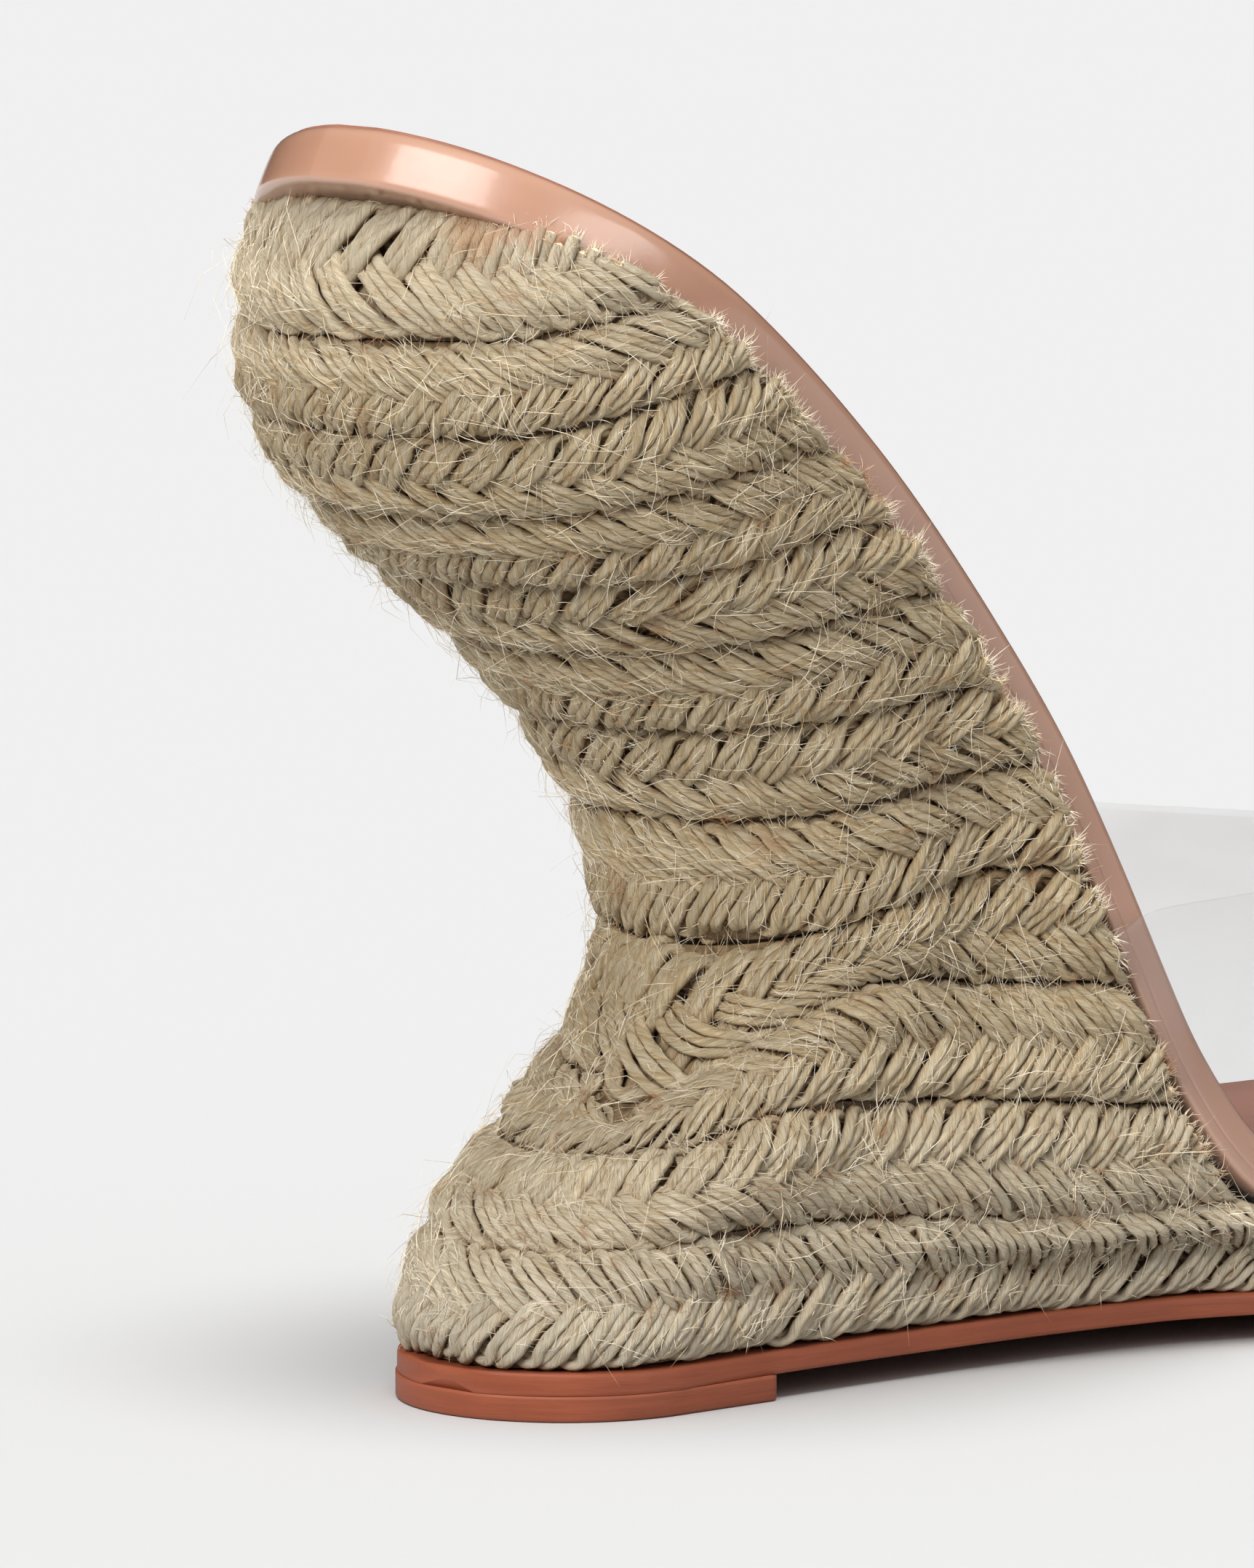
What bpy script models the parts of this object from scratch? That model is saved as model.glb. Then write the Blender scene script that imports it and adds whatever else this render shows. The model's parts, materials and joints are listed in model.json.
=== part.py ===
"""A wedge mule with a jute-wrapped heel, built as the separate pieces a shoemaker assembles.

+X points to the toe, +Y to the outer side of this left shoe and +Z up. The ground is z = 0 and the
origin is the middle of the heel top piece's tread. Lengths below are in millimetres, and MM turns
them into metres as each mesh is made.
"""

import math

import bmesh
import bpy
import numpy as np

MM = 0.001
GAP = 0.25

# Footbed: the line its upper rim follows, as pitch in degrees at stations of arc length from the back.
FOOTBED_LENGTH = 245.0
FOOTBED_BACK_X = -26.0
FOOTBED_PITCH = (
    (0, 29), (30, 36), (60, 43.5), (85, 49), (105, 59), (122, 62.5), (139, 58.5),
    (153, 24), (168, 4), (184, 0), (200, -1), (245, -8),
)
BALL_STATION = 184.0
BALL_RIM_Z = 12.6

# Half widths of the footbed by station, before the ends are rounded.
INNER_HALF = ((0, 27), (32, 27), (55, 26.3), (93, 24.2), (130, 25.2), (146, 28), (160, 33),
              (174, 37.5), (190, 38.5), (212, 36.5), (245, 30))
OUTER_HALF = ((0, 27), (32, 27), (55, 26.8), (93, 26), (130, 30), (145, 34.5), (158, 38.5),
              (175, 40), (195, 37.5), (215, 33), (245, 25))
HEEL_ROUNDING = 32.0
TOE_ROUNDING = 46.0
TOE_SQUARENESS = 2.5
END_ROOM = 0.2
BEND_WEIGHT = 60.0
RIB_POINTS = 3

# Layers of the footbed, as depth below its rim, measured square to it.
SOCK_THICKNESS = 0.8
SOCK_INSET = 0.5
RAND_THICKNESS = 0.7
LIP_DEPTH = SOCK_THICKNESS + GAP
BOARD_DEPTH = LIP_DEPTH + RAND_THICKNESS + GAP
BOARD_THICKNESS = 1.8
BOARD_INSET = RAND_THICKNESS + 0.4
FLANGE_DEPTH = BOARD_DEPTH + BOARD_THICKNESS + GAP
RAND_BOTTOM = FLANGE_DEPTH + RAND_THICKNESS
MARGIN_DEPTH = RAND_BOTTOM + GAP
PVC_THICKNESS = 0.7
SEAT_DEPTH = 5.25
VAMP_SEAT_DEPTH = MARGIN_DEPTH + PVC_THICKNESS + 2.8 * GAP
LIP_WIDTH = 4.0
FOAM_INSET = LIP_WIDTH + 0.5
FLANGE_WIDTH = 7.0
RAND_ROUNDING = ((1.4, 0.0), (0.45, 0.35), (0.0, 1.2))

# Shank and fasteners: span and half width of the steel strip, and the room round a fastener.
SHANK_SPAN = (22.0, 142.0)
SHANK_HALF = 5.5
SHANK_SWELL = 1.5
SHANK_THICKNESS = 1.0
SCREW_LENGTH = 18.0
NAIL_LENGTH = 15.0
HEAD_SINK = 0.05
HEAD_EDGE = 0.25
POINT_LENGTH = 0.5
HOLE_ROOM = 0.2
HOLE_DEEPER = 0.4
HOLE_HIGHER = 0.5
TURNED_STEPS = 12

# Sole and heel top piece.
SOLE_LIFT = 2.5
SOLE_THICKNESS = 2.2
SOLE_LANDS = (74.0, 104.0)
TOE_SPRING = 3.6
SOLE_TIP_START = 118.0
HEEL_RADIUS = 16.4
HEEL_CENTRE_X = 2.1
HEEL_BREAST_X = 14.4
HEEL_BREAST_HALF = 17.2
HEEL_BREAST_HOLLOW = 1.2
SOLE_BACK_INSET = 0.5
SOLE_TIP_INSET = 0.6

# Wedge: the line the back of the wrapping follows, and the roundness of its back, by height.
BACK_LINE = (
    (2, -14.5), (8, -14), (13, -12.5), (18, -9.5), (24, -2.5), (30, 5), (36, 11), (42, 14),
    (48, 13.6), (54, 11.4), (60, 7.8), (66, 2.9), (72, -3.6), (78, -11.2), (84, -18.6),
    (90, -25.4), (95, -28.6), (101, -30.6), (107, -30.7), (112, -29.6), (117, -26.5), (124, -22.5),
)
BACK_RADIUS = ((0, 17), (5, 17), (15, 17.6), (30, 19), (48, 21), (60, 23), (80, 26.5), (100, 29),
               (118, 29.5), (130, 29.5))
WRAP_BULGE = 2.0
WRAP_WAIST = 1.25
CORE_FRONT_X = 86.0
WRAP_THICKNESS = 4.0
CORE_ROOM = 0.8
CORE_STEPS = (6, 4, 2)
FILLER_INSET = 2.0
FILLER_ROOM = 1.0
FILLER_TIP_HALF = 2.0
ROW_MARGIN = 0.26
BAND_SECTION = ((0.2, 0.0), (0.8, 0.0), (1.0, 0.35), (1.0, 1.0), (0.0, 1.0), (0.0, 0.35))

# Heights of the lines between the jute rows: at the back, along the side, and at the front end.
ROW_LINES = (
    (16.9, 16.6, 14.2), (25.0, 27.8, 24.8), (31.8, 38.2, 36.2), (43.0, 48.6, 48.8), (55.0, 59.8, 60.4),
    (64.0, 68.0, 69.6), (72.2, 77.6, 79.4), (79.4, 85.4, 87.4), (86.4, 92.8, 94.8), (94.8, 101.6, 103.6),
    (104.8, 109.8, 111.0),
)
SIDE_RUN = 30.0
FRONT_RUN = 62.0
TOP_ROW_END_X = -16.5
TOP_LINE_Z = 117.4
WALL_SAMPLES = 14
TOE_SAMPLES = 16
END_BLEND = 0.6
ROW_COUNT = len(ROW_LINES) + 1

# Clear vamp: crown height above the footbed by station, topline height and front edge.
CROWN_HEIGHT = ((90, 52), (120, 49), (150, 41), (175, 35), (190, 31.5), (205, 27.5), (225, 23))
VAMP_PITCH = ((90, 60), (118, 54), (140, 40), (160, 20), (180, 6), (200, 0), (225, -4))
TOPLINE_Z = (44.5, 47.0, 51.5)
VAMP_FRONT_SIDE = 222.0
VAMP_FRONT_CREST = 206.0
VAMP_FULLNESS = 0.87
VAMP_SKEW = 0.14
VAMP_MARGIN = 11.0
VAMP_STAND_OFF = GAP + 0.2 + PVC_THICKNESS
VAMP_SAMPLES = 16
VAMP_RIM_DEPTH = 2.6
# Where the vamp is tucked under the footbed, the wrapping ends lower: between these x.
VAMP_SEAT_X = (42.0, 49.0)

COLOURS = {
    "jute": ((0.55, 0.44, 0.26), 0.95, 0.0),
    "patent": ((0.62, 0.30, 0.20), 0.15, 0.0),
    "terracotta": ((0.45, 0.20, 0.13), 0.55, 0.0),
    "sock": ((0.33, 0.13, 0.09), 0.6, 0.0),
    "pvc": ((0.85, 0.83, 0.82), 0.08, 0.0),
    "wood": ((0.55, 0.38, 0.22), 0.7, 0.0),
    "cork": ((0.42, 0.28, 0.17), 0.9, 0.0),
    "board": ((0.50, 0.42, 0.32), 0.9, 0.0),
    "foam": ((0.75, 0.70, 0.58), 0.9, 0.0),
    "steel": ((0.55, 0.56, 0.58), 0.3, 1.0),
}


def smooth_table(stations):
    """A function through the stations that never overshoots between them."""
    at, value = np.array(stations, float).T
    step = np.diff(at)
    slope = np.diff(value) / step
    tangent = np.zeros(len(at))
    for i in range(1, len(at) - 1):
        if slope[i - 1] * slope[i] > 0:
            tangent[i] = 2 * slope[i - 1] * slope[i] / (slope[i - 1] + slope[i])
    tangent[0] = slope[0]
    tangent[-1] = slope[-1]

    def evaluate(x):
        x = np.clip(np.asarray(x, float), at[0], at[-1])
        i = np.clip(np.searchsorted(at, x) - 1, 0, len(step) - 1)
        t = (x - at[i]) / step[i]
        rise = value[i + 1] - value[i]
        bend_in = tangent[i] * step[i]
        bend_out = tangent[i + 1] * step[i]
        blend = t * t * (3 - 2 * t)
        return value[i] + rise * blend + bend_in * t * (1 - t) ** 2 - bend_out * t * t * (1 - t)

    return evaluate


def ease(t):
    t = np.clip(t, 0, 1)
    return t * t * (3 - 2 * t)


# ---------------------------------------------------------------- the footbed as a surface

ARC = np.linspace(-6, FOOTBED_LENGTH + 6, 1029)
ARC_PITCH = np.radians(smooth_table(FOOTBED_PITCH)(ARC))


def integrate(rate):
    steps = (rate[1:] + rate[:-1]) / 2 * np.diff(ARC)
    return np.concatenate([[0.0], np.cumsum(steps)])


RIM_X = integrate(np.cos(ARC_PITCH))
RIM_Z = integrate(-np.sin(ARC_PITCH))
RIM_X += FOOTBED_BACK_X - np.interp(0, ARC, RIM_X)
RIM_Z += BALL_RIM_Z - np.interp(BALL_STATION, ARC, RIM_Z)

inner_half = smooth_table(INNER_HALF)
outer_half = smooth_table(OUTER_HALF)


def on_footbed(station, y, depth):
    """The point at a station and a width, at a depth square to the footbed."""
    station = np.asarray(station, float)
    pitch = np.interp(station, ARC, ARC_PITCH)
    x = np.interp(station, ARC, RIM_X) - depth * np.sin(pitch)
    z = np.interp(station, ARC, RIM_Z) - depth * np.cos(pitch)
    return np.stack(np.broadcast_arrays(x, y, z), -1)


def bend_spacing(first, last, count):
    """Stations that crowd where the footbed bends most."""
    effort = ARC + BEND_WEIGHT * np.concatenate([[0], np.cumsum(np.abs(np.diff(ARC_PITCH)))])
    ends = np.interp((first, last), ARC, effort)
    return np.interp(np.linspace(*ends, count), effort, ARC)


def under_footbed(depth):
    """Height by x of the line at a depth below the rim."""
    line = on_footbed(ARC, 0.0, depth)
    return lambda x: np.interp(x, line[:, 0], line[:, 2])


def end_rounding(station):
    heel = np.clip(1 - (station + END_ROOM) / HEEL_ROUNDING, 0, 1)
    toe = np.clip(1 - (FOOTBED_LENGTH + END_ROOM - station) / TOE_ROUNDING, 0, 1)
    return np.sqrt(1 - heel**2) * (1 - toe**TOE_SQUARENESS) ** (1 / TOE_SQUARENESS)


def spread_stations(first=0.0):
    """Stations closer together at the rounded ends and where the footbed bends at the ball."""
    heel = HEEL_ROUNDING * (1 - np.cos(np.linspace(0, math.pi / 2, 8)))
    toe_start = FOOTBED_LENGTH - TOE_ROUNDING
    toe = toe_start + TOE_ROUNDING * np.sin(np.linspace(0, math.pi / 2, 9))
    middle = bend_spacing(HEEL_ROUNDING, toe_start, 21)
    station = np.concatenate([heel[:-1], middle[:-1], toe])
    return station if first <= 0 else np.concatenate([[first], station[station > first + 1]])


def footbed_sides(inset=0.0, first=0.0, station=None):
    """The footbed's inner and outer edge as (station, y) points, moved inwards by the inset."""
    station = spread_stations(first) if station is None else station
    rounding = end_rounding(station)
    sides = []
    for sign, half in ((-1, inner_half), (1, outer_half)):
        y = sign * half(station) * rounding
        run = np.gradient(station)
        rise = np.gradient(y)
        length = np.hypot(run, rise)
        sides.append(np.stack([station + sign * inset * rise / length,
                               y - sign * inset * run / length], -1))
    return sides


def footbed_loop(inset):
    inner, outer = footbed_sides(inset)
    return np.concatenate([inner, outer[::-1]])


# ---------------------------------------------------------------- the wrapped wall as a surface

back_line = smooth_table(BACK_LINE)
back_radius = smooth_table(BACK_RADIUS)
seat_line = under_footbed(SEAT_DEPTH)
vamp_seat_line = under_footbed(VAMP_SEAT_DEPTH)
FINE_STATIONS = FOOTBED_LENGTH * (1 - np.cos(np.linspace(0, math.pi, 400))) / 2
WIDEST = [on_footbed(side[:, 0], side[:, 1], 0.0)
          for side in footbed_sides(-WRAP_BULGE, station=FINE_STATIONS)]
TIP_X = WIDEST[0][-1, 0]


def wrap_top(x):
    """Height of the underside that the wrapping ends against; it drops where the vamp is tucked in."""
    share = ease((x - VAMP_SEAT_X[0]) / (VAMP_SEAT_X[1] - VAMP_SEAT_X[0]))
    return seat_line(x) * (1 - share) + vamp_seat_line(x) * share


def sole_bottom(x):
    landed = ease((x - SOLE_LANDS[0]) / (SOLE_LANDS[1] - SOLE_LANDS[0]))
    sprung = np.clip((x - SOLE_TIP_START) / (TIP_X - SOLE_TIP_START), 0, 1) ** 2
    return SOLE_LIFT * (1 - landed) + TOE_SPRING * sprung


def wrap_bottom(x):
    """Height of the upper side of the sole, with room for the glue line."""
    return sole_bottom(x) + SOLE_THICKNESS + GAP


def wall_half(x, z, side):
    """Half width of the wrapped wall: round at the back, easing out to the footbed's edge in front."""
    radius = back_radius(z)
    back = back_line(z)
    turned = np.clip((back + radius - x) / radius, 0, 1)
    round_part = radius * np.sqrt(1 - turned**2)
    shoulder = back + radius
    meets = np.interp(-z, -wrap_top(RIM_X), RIM_X)
    meets = np.clip(meets, None, SOLE_LANDS[1])
    share = ease(np.clip((x - shoulder) / np.maximum(meets - shoulder, 1e-6), 0, 1) ** WRAP_WAIST)
    share = np.where(meets > shoulder, share, 0)
    edge = np.interp(x, WIDEST[side][:, 0], np.abs(WIDEST[side][:, 1]))
    return np.where(x < shoulder, round_part, radius + (edge - radius) * share)


def line_height(level, x):
    """Height at x of a row line; level 0 lies on the sole and ROW_COUNT against the footbed."""
    if level == 0:
        return wrap_bottom(x)
    if level == ROW_COUNT:
        return np.minimum(wrap_top(x), TOP_LINE_Z)
    back, side, front = ROW_LINES[level - 1]
    start = back_line(back)
    height = back + (side - back) * ease((x - start) / SIDE_RUN)
    return height + (front - side) * ease((x - start - SIDE_RUN) / (FRONT_RUN - SIDE_RUN))


def line_reach(level):
    """The x where a row line runs into the footbed's underside."""
    if level >= ROW_COUNT:
        return TOP_ROW_END_X
    x = np.linspace(-20, CORE_FRONT_X, 1061)
    clear = wrap_top(x) - line_height(level, x)
    crossed = np.flatnonzero((clear[1:] <= 0) & (clear[:-1] > 0))
    return x[crossed[0]] if len(crossed) else CORE_FRONT_X


def wall_line(level, count, side, reach):
    """Points along a row line from the back to its reach, on one side."""
    share = 1 - np.cos(np.linspace(0, math.pi / 2, count))
    start = line_start(level)
    x = start + (reach - start) * share
    z = np.minimum(line_height(level, x), wrap_top(x))
    y = wall_half(x, z, side)
    y[0] = 0.0
    return np.stack([x, y if side else -y, z], -1)


def line_start(level):
    """The x where a row line crosses the back of the wall."""
    x = np.linspace(-32, 20, 1041)
    off = x - back_line(line_height(level, x))
    crossed = np.flatnonzero((off[1:] >= 0) & (off[:-1] < 0))
    return float(x[crossed[0] + 1])


def wall_ring(level):
    """A row line from its inner end, round the back, to its outer end."""
    reach = line_reach(level)
    inner = wall_line(level, WALL_SAMPLES, 0, reach)
    outer = wall_line(level, WALL_SAMPLES, 1, reach)
    return np.concatenate([inner[::-1], outer[1:]])


def unit(vectors):
    return vectors / np.maximum(np.linalg.norm(vectors, axis=-1, keepdims=True), 1e-9)


# ---------------------------------------------------------------- Blender helpers

def material(name, look):
    colour, roughness, metallic = COLOURS[look]
    made = bpy.data.materials.new(name)
    made.use_nodes = True
    shader = made.node_tree.nodes["Principled BSDF"]
    shader.inputs["Base Color"].default_value = (*colour, 1)
    shader.inputs["Roughness"].default_value = roughness
    shader.inputs["Metallic"].default_value = metallic
    made.diffuse_color = (*colour, 1)
    return made


def make_mesh(name, points, faces, look):
    mesh = bpy.data.meshes.new(name)
    mesh.from_pydata([tuple(float(c) * MM for c in p) for p in points], [], faces)
    work = bmesh.new()
    work.from_mesh(mesh)
    bmesh.ops.recalc_face_normals(work, faces=work.faces)
    work.to_mesh(mesh)
    work.free()
    return add_object(name, mesh, look)


def add_object(name, data, look, collection="wedge_sandal"):
    made = bpy.data.objects.new(name, data)
    bpy.data.collections[collection].objects.link(made)
    if look:
        data.materials.append(material(name, look))
    return made


def grid_faces(rows, columns, wrap_rows=False, wrap_columns=False):
    faces = []
    for i in range(rows - (not wrap_rows)):
        for j in range(columns - (not wrap_columns)):
            a = i * columns + j
            b = i * columns + (j + 1) % columns
            c = (i + 1) % rows * columns + (j + 1) % columns
            d = (i + 1) % rows * columns + j
            faces.append((a, b, c, d))
    return faces


def shell(name, surface, thickness, look, wrap=False):
    """An open surface, given as a grid whose first face points outwards, thickened inwards."""
    rows, columns = surface.shape[:2]
    mesh = bpy.data.meshes.new(name)
    points = surface.reshape(-1, 3) * MM
    mesh.from_pydata(points.tolist(), [], grid_faces(rows, columns, wrap_rows=wrap))
    made = add_object(name, mesh, look)
    solidify = made.modifiers.new("thickness", "SOLIDIFY")
    solidify.thickness = thickness * MM
    solidify.offset = -1.0
    solidify.use_even_offset = True
    return made


def loft(name, rings, look):
    """A solid through closed rings of equal count; both end rings are filled."""
    count = len(rings[0])
    faces = grid_faces(len(rings), count, wrap_columns=True)
    last = (len(rings) - 1) * count
    faces += half_cap(0, count) + half_cap(last, count)
    return make_mesh(name, np.concatenate(rings), faces, look)


def half_cap(first, count):
    """Fills a ring with ribs that join its two halves."""
    faces = []
    low = 0
    high = count - 1
    while high - low > 2:
        faces.append((first + low, first + low + 1, first + high - 1, first + high))
        low += 1
        high -= 1
    faces.append(tuple(first + i for i in range(low, high + 1)))
    return faces


def ribs(first, last):
    """A grid of ribs from one edge to the other, both given as (n, 2)."""
    share = np.linspace(0, 1, RIB_POINTS)[None, :, None]
    return first[:, None] * (1 - share) + last[:, None] * share


def cut(target, cutter):
    made = target.modifiers.new(cutter.name, "BOOLEAN")
    made.operation = "DIFFERENCE"
    made.solver = "EXACT"
    made.object = cutter


# ---------------------------------------------------------------- footbed pieces

def footbed_sheet(name, depth, thickness, inset, look):
    inner, outer = footbed_sides(inset)
    grid = ribs(outer, inner)
    surface = on_footbed(grid[..., 0], grid[..., 1], depth)
    return shell(name, surface, thickness, look)


def footbed_rand():
    """Leather strip turned over the footbed's edge: a lip above, a rounded wall and a flange below."""
    profile = [(LIP_WIDTH, LIP_DEPTH)]
    profile += [(inset, LIP_DEPTH + down) for inset, down in RAND_ROUNDING]
    profile += [(0.0, (LIP_DEPTH + RAND_BOTTOM) / 2)]
    profile += [(inset, RAND_BOTTOM - up) for inset, up in RAND_ROUNDING[::-1]]
    profile += [(FLANGE_WIDTH, RAND_BOTTOM)]
    columns = []
    for inset, depth in profile:
        loop = footbed_loop(inset)
        columns.append(on_footbed(loop[:, 0], loop[:, 1], depth))
    surface = np.stack(columns, 1)
    return shell("footbed_rand", surface, RAND_THICKNESS, "patent", wrap=True)


def shank():
    """Steel strip under the board, widest at the waist."""
    station = np.linspace(*SHANK_SPAN, 20)
    half_width = SHANK_HALF + SHANK_SWELL * np.sin(np.linspace(0, math.pi, len(station)))
    edge = np.stack([station, half_width], -1)
    grid = ribs(edge, edge * (1, -1))
    surface = on_footbed(grid[..., 0], grid[..., 1], FLANGE_DEPTH)
    return shell("shank", surface, SHANK_THICKNESS, "steel")


def turned_pin(name, place, top, bottom, head, shaft, look, collection="wedge_sandal", edge=HEAD_EDGE):
    """A pin square to the footbed with a countersunk head, turned about its own axis."""
    radius, head_height = head
    station, y = place
    pitch = float(np.interp(station, ARC, ARC_PITCH))
    length = bottom - top
    profile = [(0, 0), (radius, 0), (radius, -edge), (shaft, -edge - head_height),
               (shaft, POINT_LENGTH - length), (0, -length)]
    mesh = bpy.data.meshes.new(name)
    edges = [(i, i + 1) for i in range(len(profile) - 1)]
    mesh.from_pydata([(r * MM, 0, z * MM) for r, z in profile], edges, [])
    made = add_object(name, mesh, look, collection)
    screw = made.modifiers.new("turn", "SCREW")
    screw.steps = TURNED_STEPS
    screw.render_steps = TURNED_STEPS
    screw.use_merge_vertices = True
    screw.merge_threshold = 1e-5
    made.location = [float(c) * MM for c in on_footbed(station, y, top)]
    made.rotation_euler = (0, pitch, 0)
    return made


# ---------------------------------------------------------------- wedge, wrapping and sole

def keep_between_sole_and_footbed(points):
    x = points[..., 0]
    points[..., 2] = np.clip(points[..., 2], wrap_bottom(x), wrap_top(x))
    return points


def wall_lines():
    """Every row line with the outward direction of the wall along it."""
    lines = np.array([wall_ring(level) for level in range(ROW_COUNT + 1)])
    along = np.gradient(lines, axis=1)
    up = np.gradient(lines, axis=0)
    outwards = unit(np.cross(up, along))
    sideways = np.zeros_like(outwards)
    sideways[..., 1] = np.sign(lines[..., 1])
    from_back = np.abs(np.linspace(-1, 1, lines.shape[1]))
    blend = ease((from_back - END_BLEND) / (1 - END_BLEND))[None, :, None]
    return lines, unit(outwards * (1 - blend) + sideways * blend)


def wedge_core(lines, outwards):
    """Solid wedge inside the wrapping; every level is a ring from one end of the wall to the other."""
    inner = lines - outwards * (WRAP_THICKNESS + CORE_ROOM)
    rings = []
    for level in range(ROW_COUNT):
        steps = CORE_STEPS[level] if level < len(CORE_STEPS) else 1
        for share in np.arange(steps) / steps:
            rings.append(inner[level] * (1 - share) + inner[level + 1] * share)
    rings.append((inner[-2] + inner[-1]) / 2)
    rings = np.array(rings)
    rings[..., 0] = np.minimum(rings[..., 0], CORE_FRONT_X)
    return loft("wedge_core", list(keep_between_sole_and_footbed(rings)), "wood")


def band(name, lower, upper, lower_out, upper_out, look, closed=False):
    """A rounded band of the wrapping's thickness between two lines on the wall."""
    width = np.linalg.norm(upper - lower, axis=-1)[:, None]
    margin = ROW_MARGIN / width
    rings = []
    for across, deep in BAND_SECTION:
        share = margin + across * (1 - 2 * margin)
        low_point = lower - lower_out * deep * WRAP_THICKNESS
        high_point = upper - upper_out * deep * WRAP_THICKNESS
        rings.append(low_point * (1 - share) + high_point * share)
    grid = keep_between_sole_and_footbed(np.stack(rings, 1))
    if closed:
        faces = grid_faces(len(grid), len(BAND_SECTION), True, True)
        return make_mesh(name, grid.reshape(-1, 3), faces, look)
    return loft(name, list(grid), look)


def jute_foxing(lines, outwards):
    """The lowest braid: round the heel, along both sides and round the toe."""
    edges = []
    directions = []
    for level in (0, 1):
        reach = line_reach(level)
        turn = np.linspace(0, math.pi / 2, TOE_SAMPLES)[1:]
        x = reach + (TIP_X - reach) * np.sin(turn)
        z = np.array(wrap_bottom(x) if level == 0 else wrap_top(x))
        sides = []
        for side in (0, 1):
            y = wall_half(x, z, side)
            sides.append(np.stack([x, y if side else -y, z], -1))
        loop = np.concatenate([sides[0][::-1], lines[level], sides[1]])
        ahead = np.roll(loop, -1, 0) - np.roll(loop, 1, 0)
        direction = unit(np.stack([-ahead[:, 1], ahead[:, 0], 0 * ahead[:, 0]], -1))
        direction[len(x):len(x) + len(lines[level])] = outwards[level]
        directions.append(direction)
        edges.append(loop)
    return band("jute_foxing", *edges, *directions, "jute", closed=True)


def forefoot_filler():
    """Cork sheet that fills the platform in front of the wedge, between footbed and sole."""
    depth = VAMP_SEAT_DEPTH + GAP
    under_x = on_footbed(ARC, 0.0, depth)[:, 0]
    first = float(np.interp(CORE_FRONT_X + GAP, under_x, ARC))
    sides = footbed_sides(WRAP_THICKNESS - WRAP_BULGE + FILLER_INSET, first)
    for side, edge in enumerate(sides):
        edge[:, 0] = np.maximum(edge[:, 0], first)
        x = on_footbed(edge[:, 0], 0.0, depth)[:, 0]
        room = wall_half(x, wrap_bottom(x), side) - WRAP_THICKNESS - FILLER_ROOM
        half = np.minimum(np.abs(edge[:, 1]), np.maximum(room, FILLER_TIP_HALF))
        edge[:, 1] = np.sign(edge[:, 1]) * half
    grid = ribs(*sides)
    top = on_footbed(grid[..., 0], grid[..., 1], depth)
    bottom = top.copy()
    bottom[..., 2] = wrap_bottom(bottom[..., 0])
    return slab("forefoot_filler", top, bottom, "cork")


def slab(name, top, bottom, look):
    """A solid between two grids of the same shape."""
    rows, columns = top.shape[:2]
    size = rows * columns
    faces = grid_faces(rows, columns)
    faces += [tuple(size + i for i in face) for face in faces]
    rim = list(range(columns))
    rim += [i * columns + columns - 1 for i in range(1, rows)]
    rim += [(rows - 1) * columns + j for j in range(columns - 2, -1, -1)]
    rim += [i * columns for i in range(rows - 2, 0, -1)]
    for a, b in zip(rim, rim[1:] + rim[:1]):
        faces.append((a, b, size + b, size + a))
    points = np.concatenate([top.reshape(-1, 3), bottom.reshape(-1, 3)])
    return make_mesh(name, points, faces, look)


def outsole():
    """Leather sole from the back of the heel to the toe, lifted behind the ball."""
    start = float(back_line(SOLE_LIFT + SOLE_THICKNESS)) + SOLE_BACK_INSET
    turn = np.linspace(0.04, math.pi, 34)
    x = start + (TIP_X - SOLE_TIP_INSET - start) * (1 - np.cos(turn)) / 2
    top = sole_bottom(x) + SOLE_THICKNESS
    edges = []
    for side in (1, 0):
        y = wall_half(x, top, side) - SOLE_BACK_INSET
        edges.append(np.stack([x, y if side else -y], -1))
    grid = ribs(*edges)
    surface = np.stack([grid[..., 0], grid[..., 1], np.repeat(top[:, None], RIB_POINTS, 1)], -1)
    return shell("outsole", surface, SOLE_THICKNESS, "terracotta")


def heel_top_piece():
    """Flat D of leather under the heel: an arc behind and a slightly hollow breast in front."""
    thickness = SOLE_LIFT - GAP
    turn = np.linspace(math.pi / 2, 1.5 * math.pi, 25)
    outline = [(HEEL_CENTRE_X + HEEL_RADIUS * math.cos(a), HEEL_RADIUS * math.sin(a)) for a in turn]
    for share in np.linspace(-1, 1, 9):
        hollow = HEEL_BREAST_HOLLOW * (1 - share**2)
        outline.append((HEEL_BREAST_X - hollow, HEEL_BREAST_HALF * share))
    curve = bpy.data.curves.new("heel_top_piece", "CURVE")
    curve.dimensions = "2D"
    curve.fill_mode = "BOTH"
    curve.extrude = thickness / 2 * MM
    spline = curve.splines.new("POLY")
    spline.points.add(len(outline) - 1)
    for point, (x, y) in zip(spline.points, outline):
        point.co = (x * MM, y * MM, 0, 1)
    spline.use_cyclic_u = True
    made = add_object("heel_top_piece", curve, "terracotta")
    made.location = (0, 0, thickness / 2 * MM)


# ---------------------------------------------------------------- clear vamp

crown_height = smooth_table(CROWN_HEIGHT)
vamp_pitch = smooth_table(VAMP_PITCH)


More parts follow.
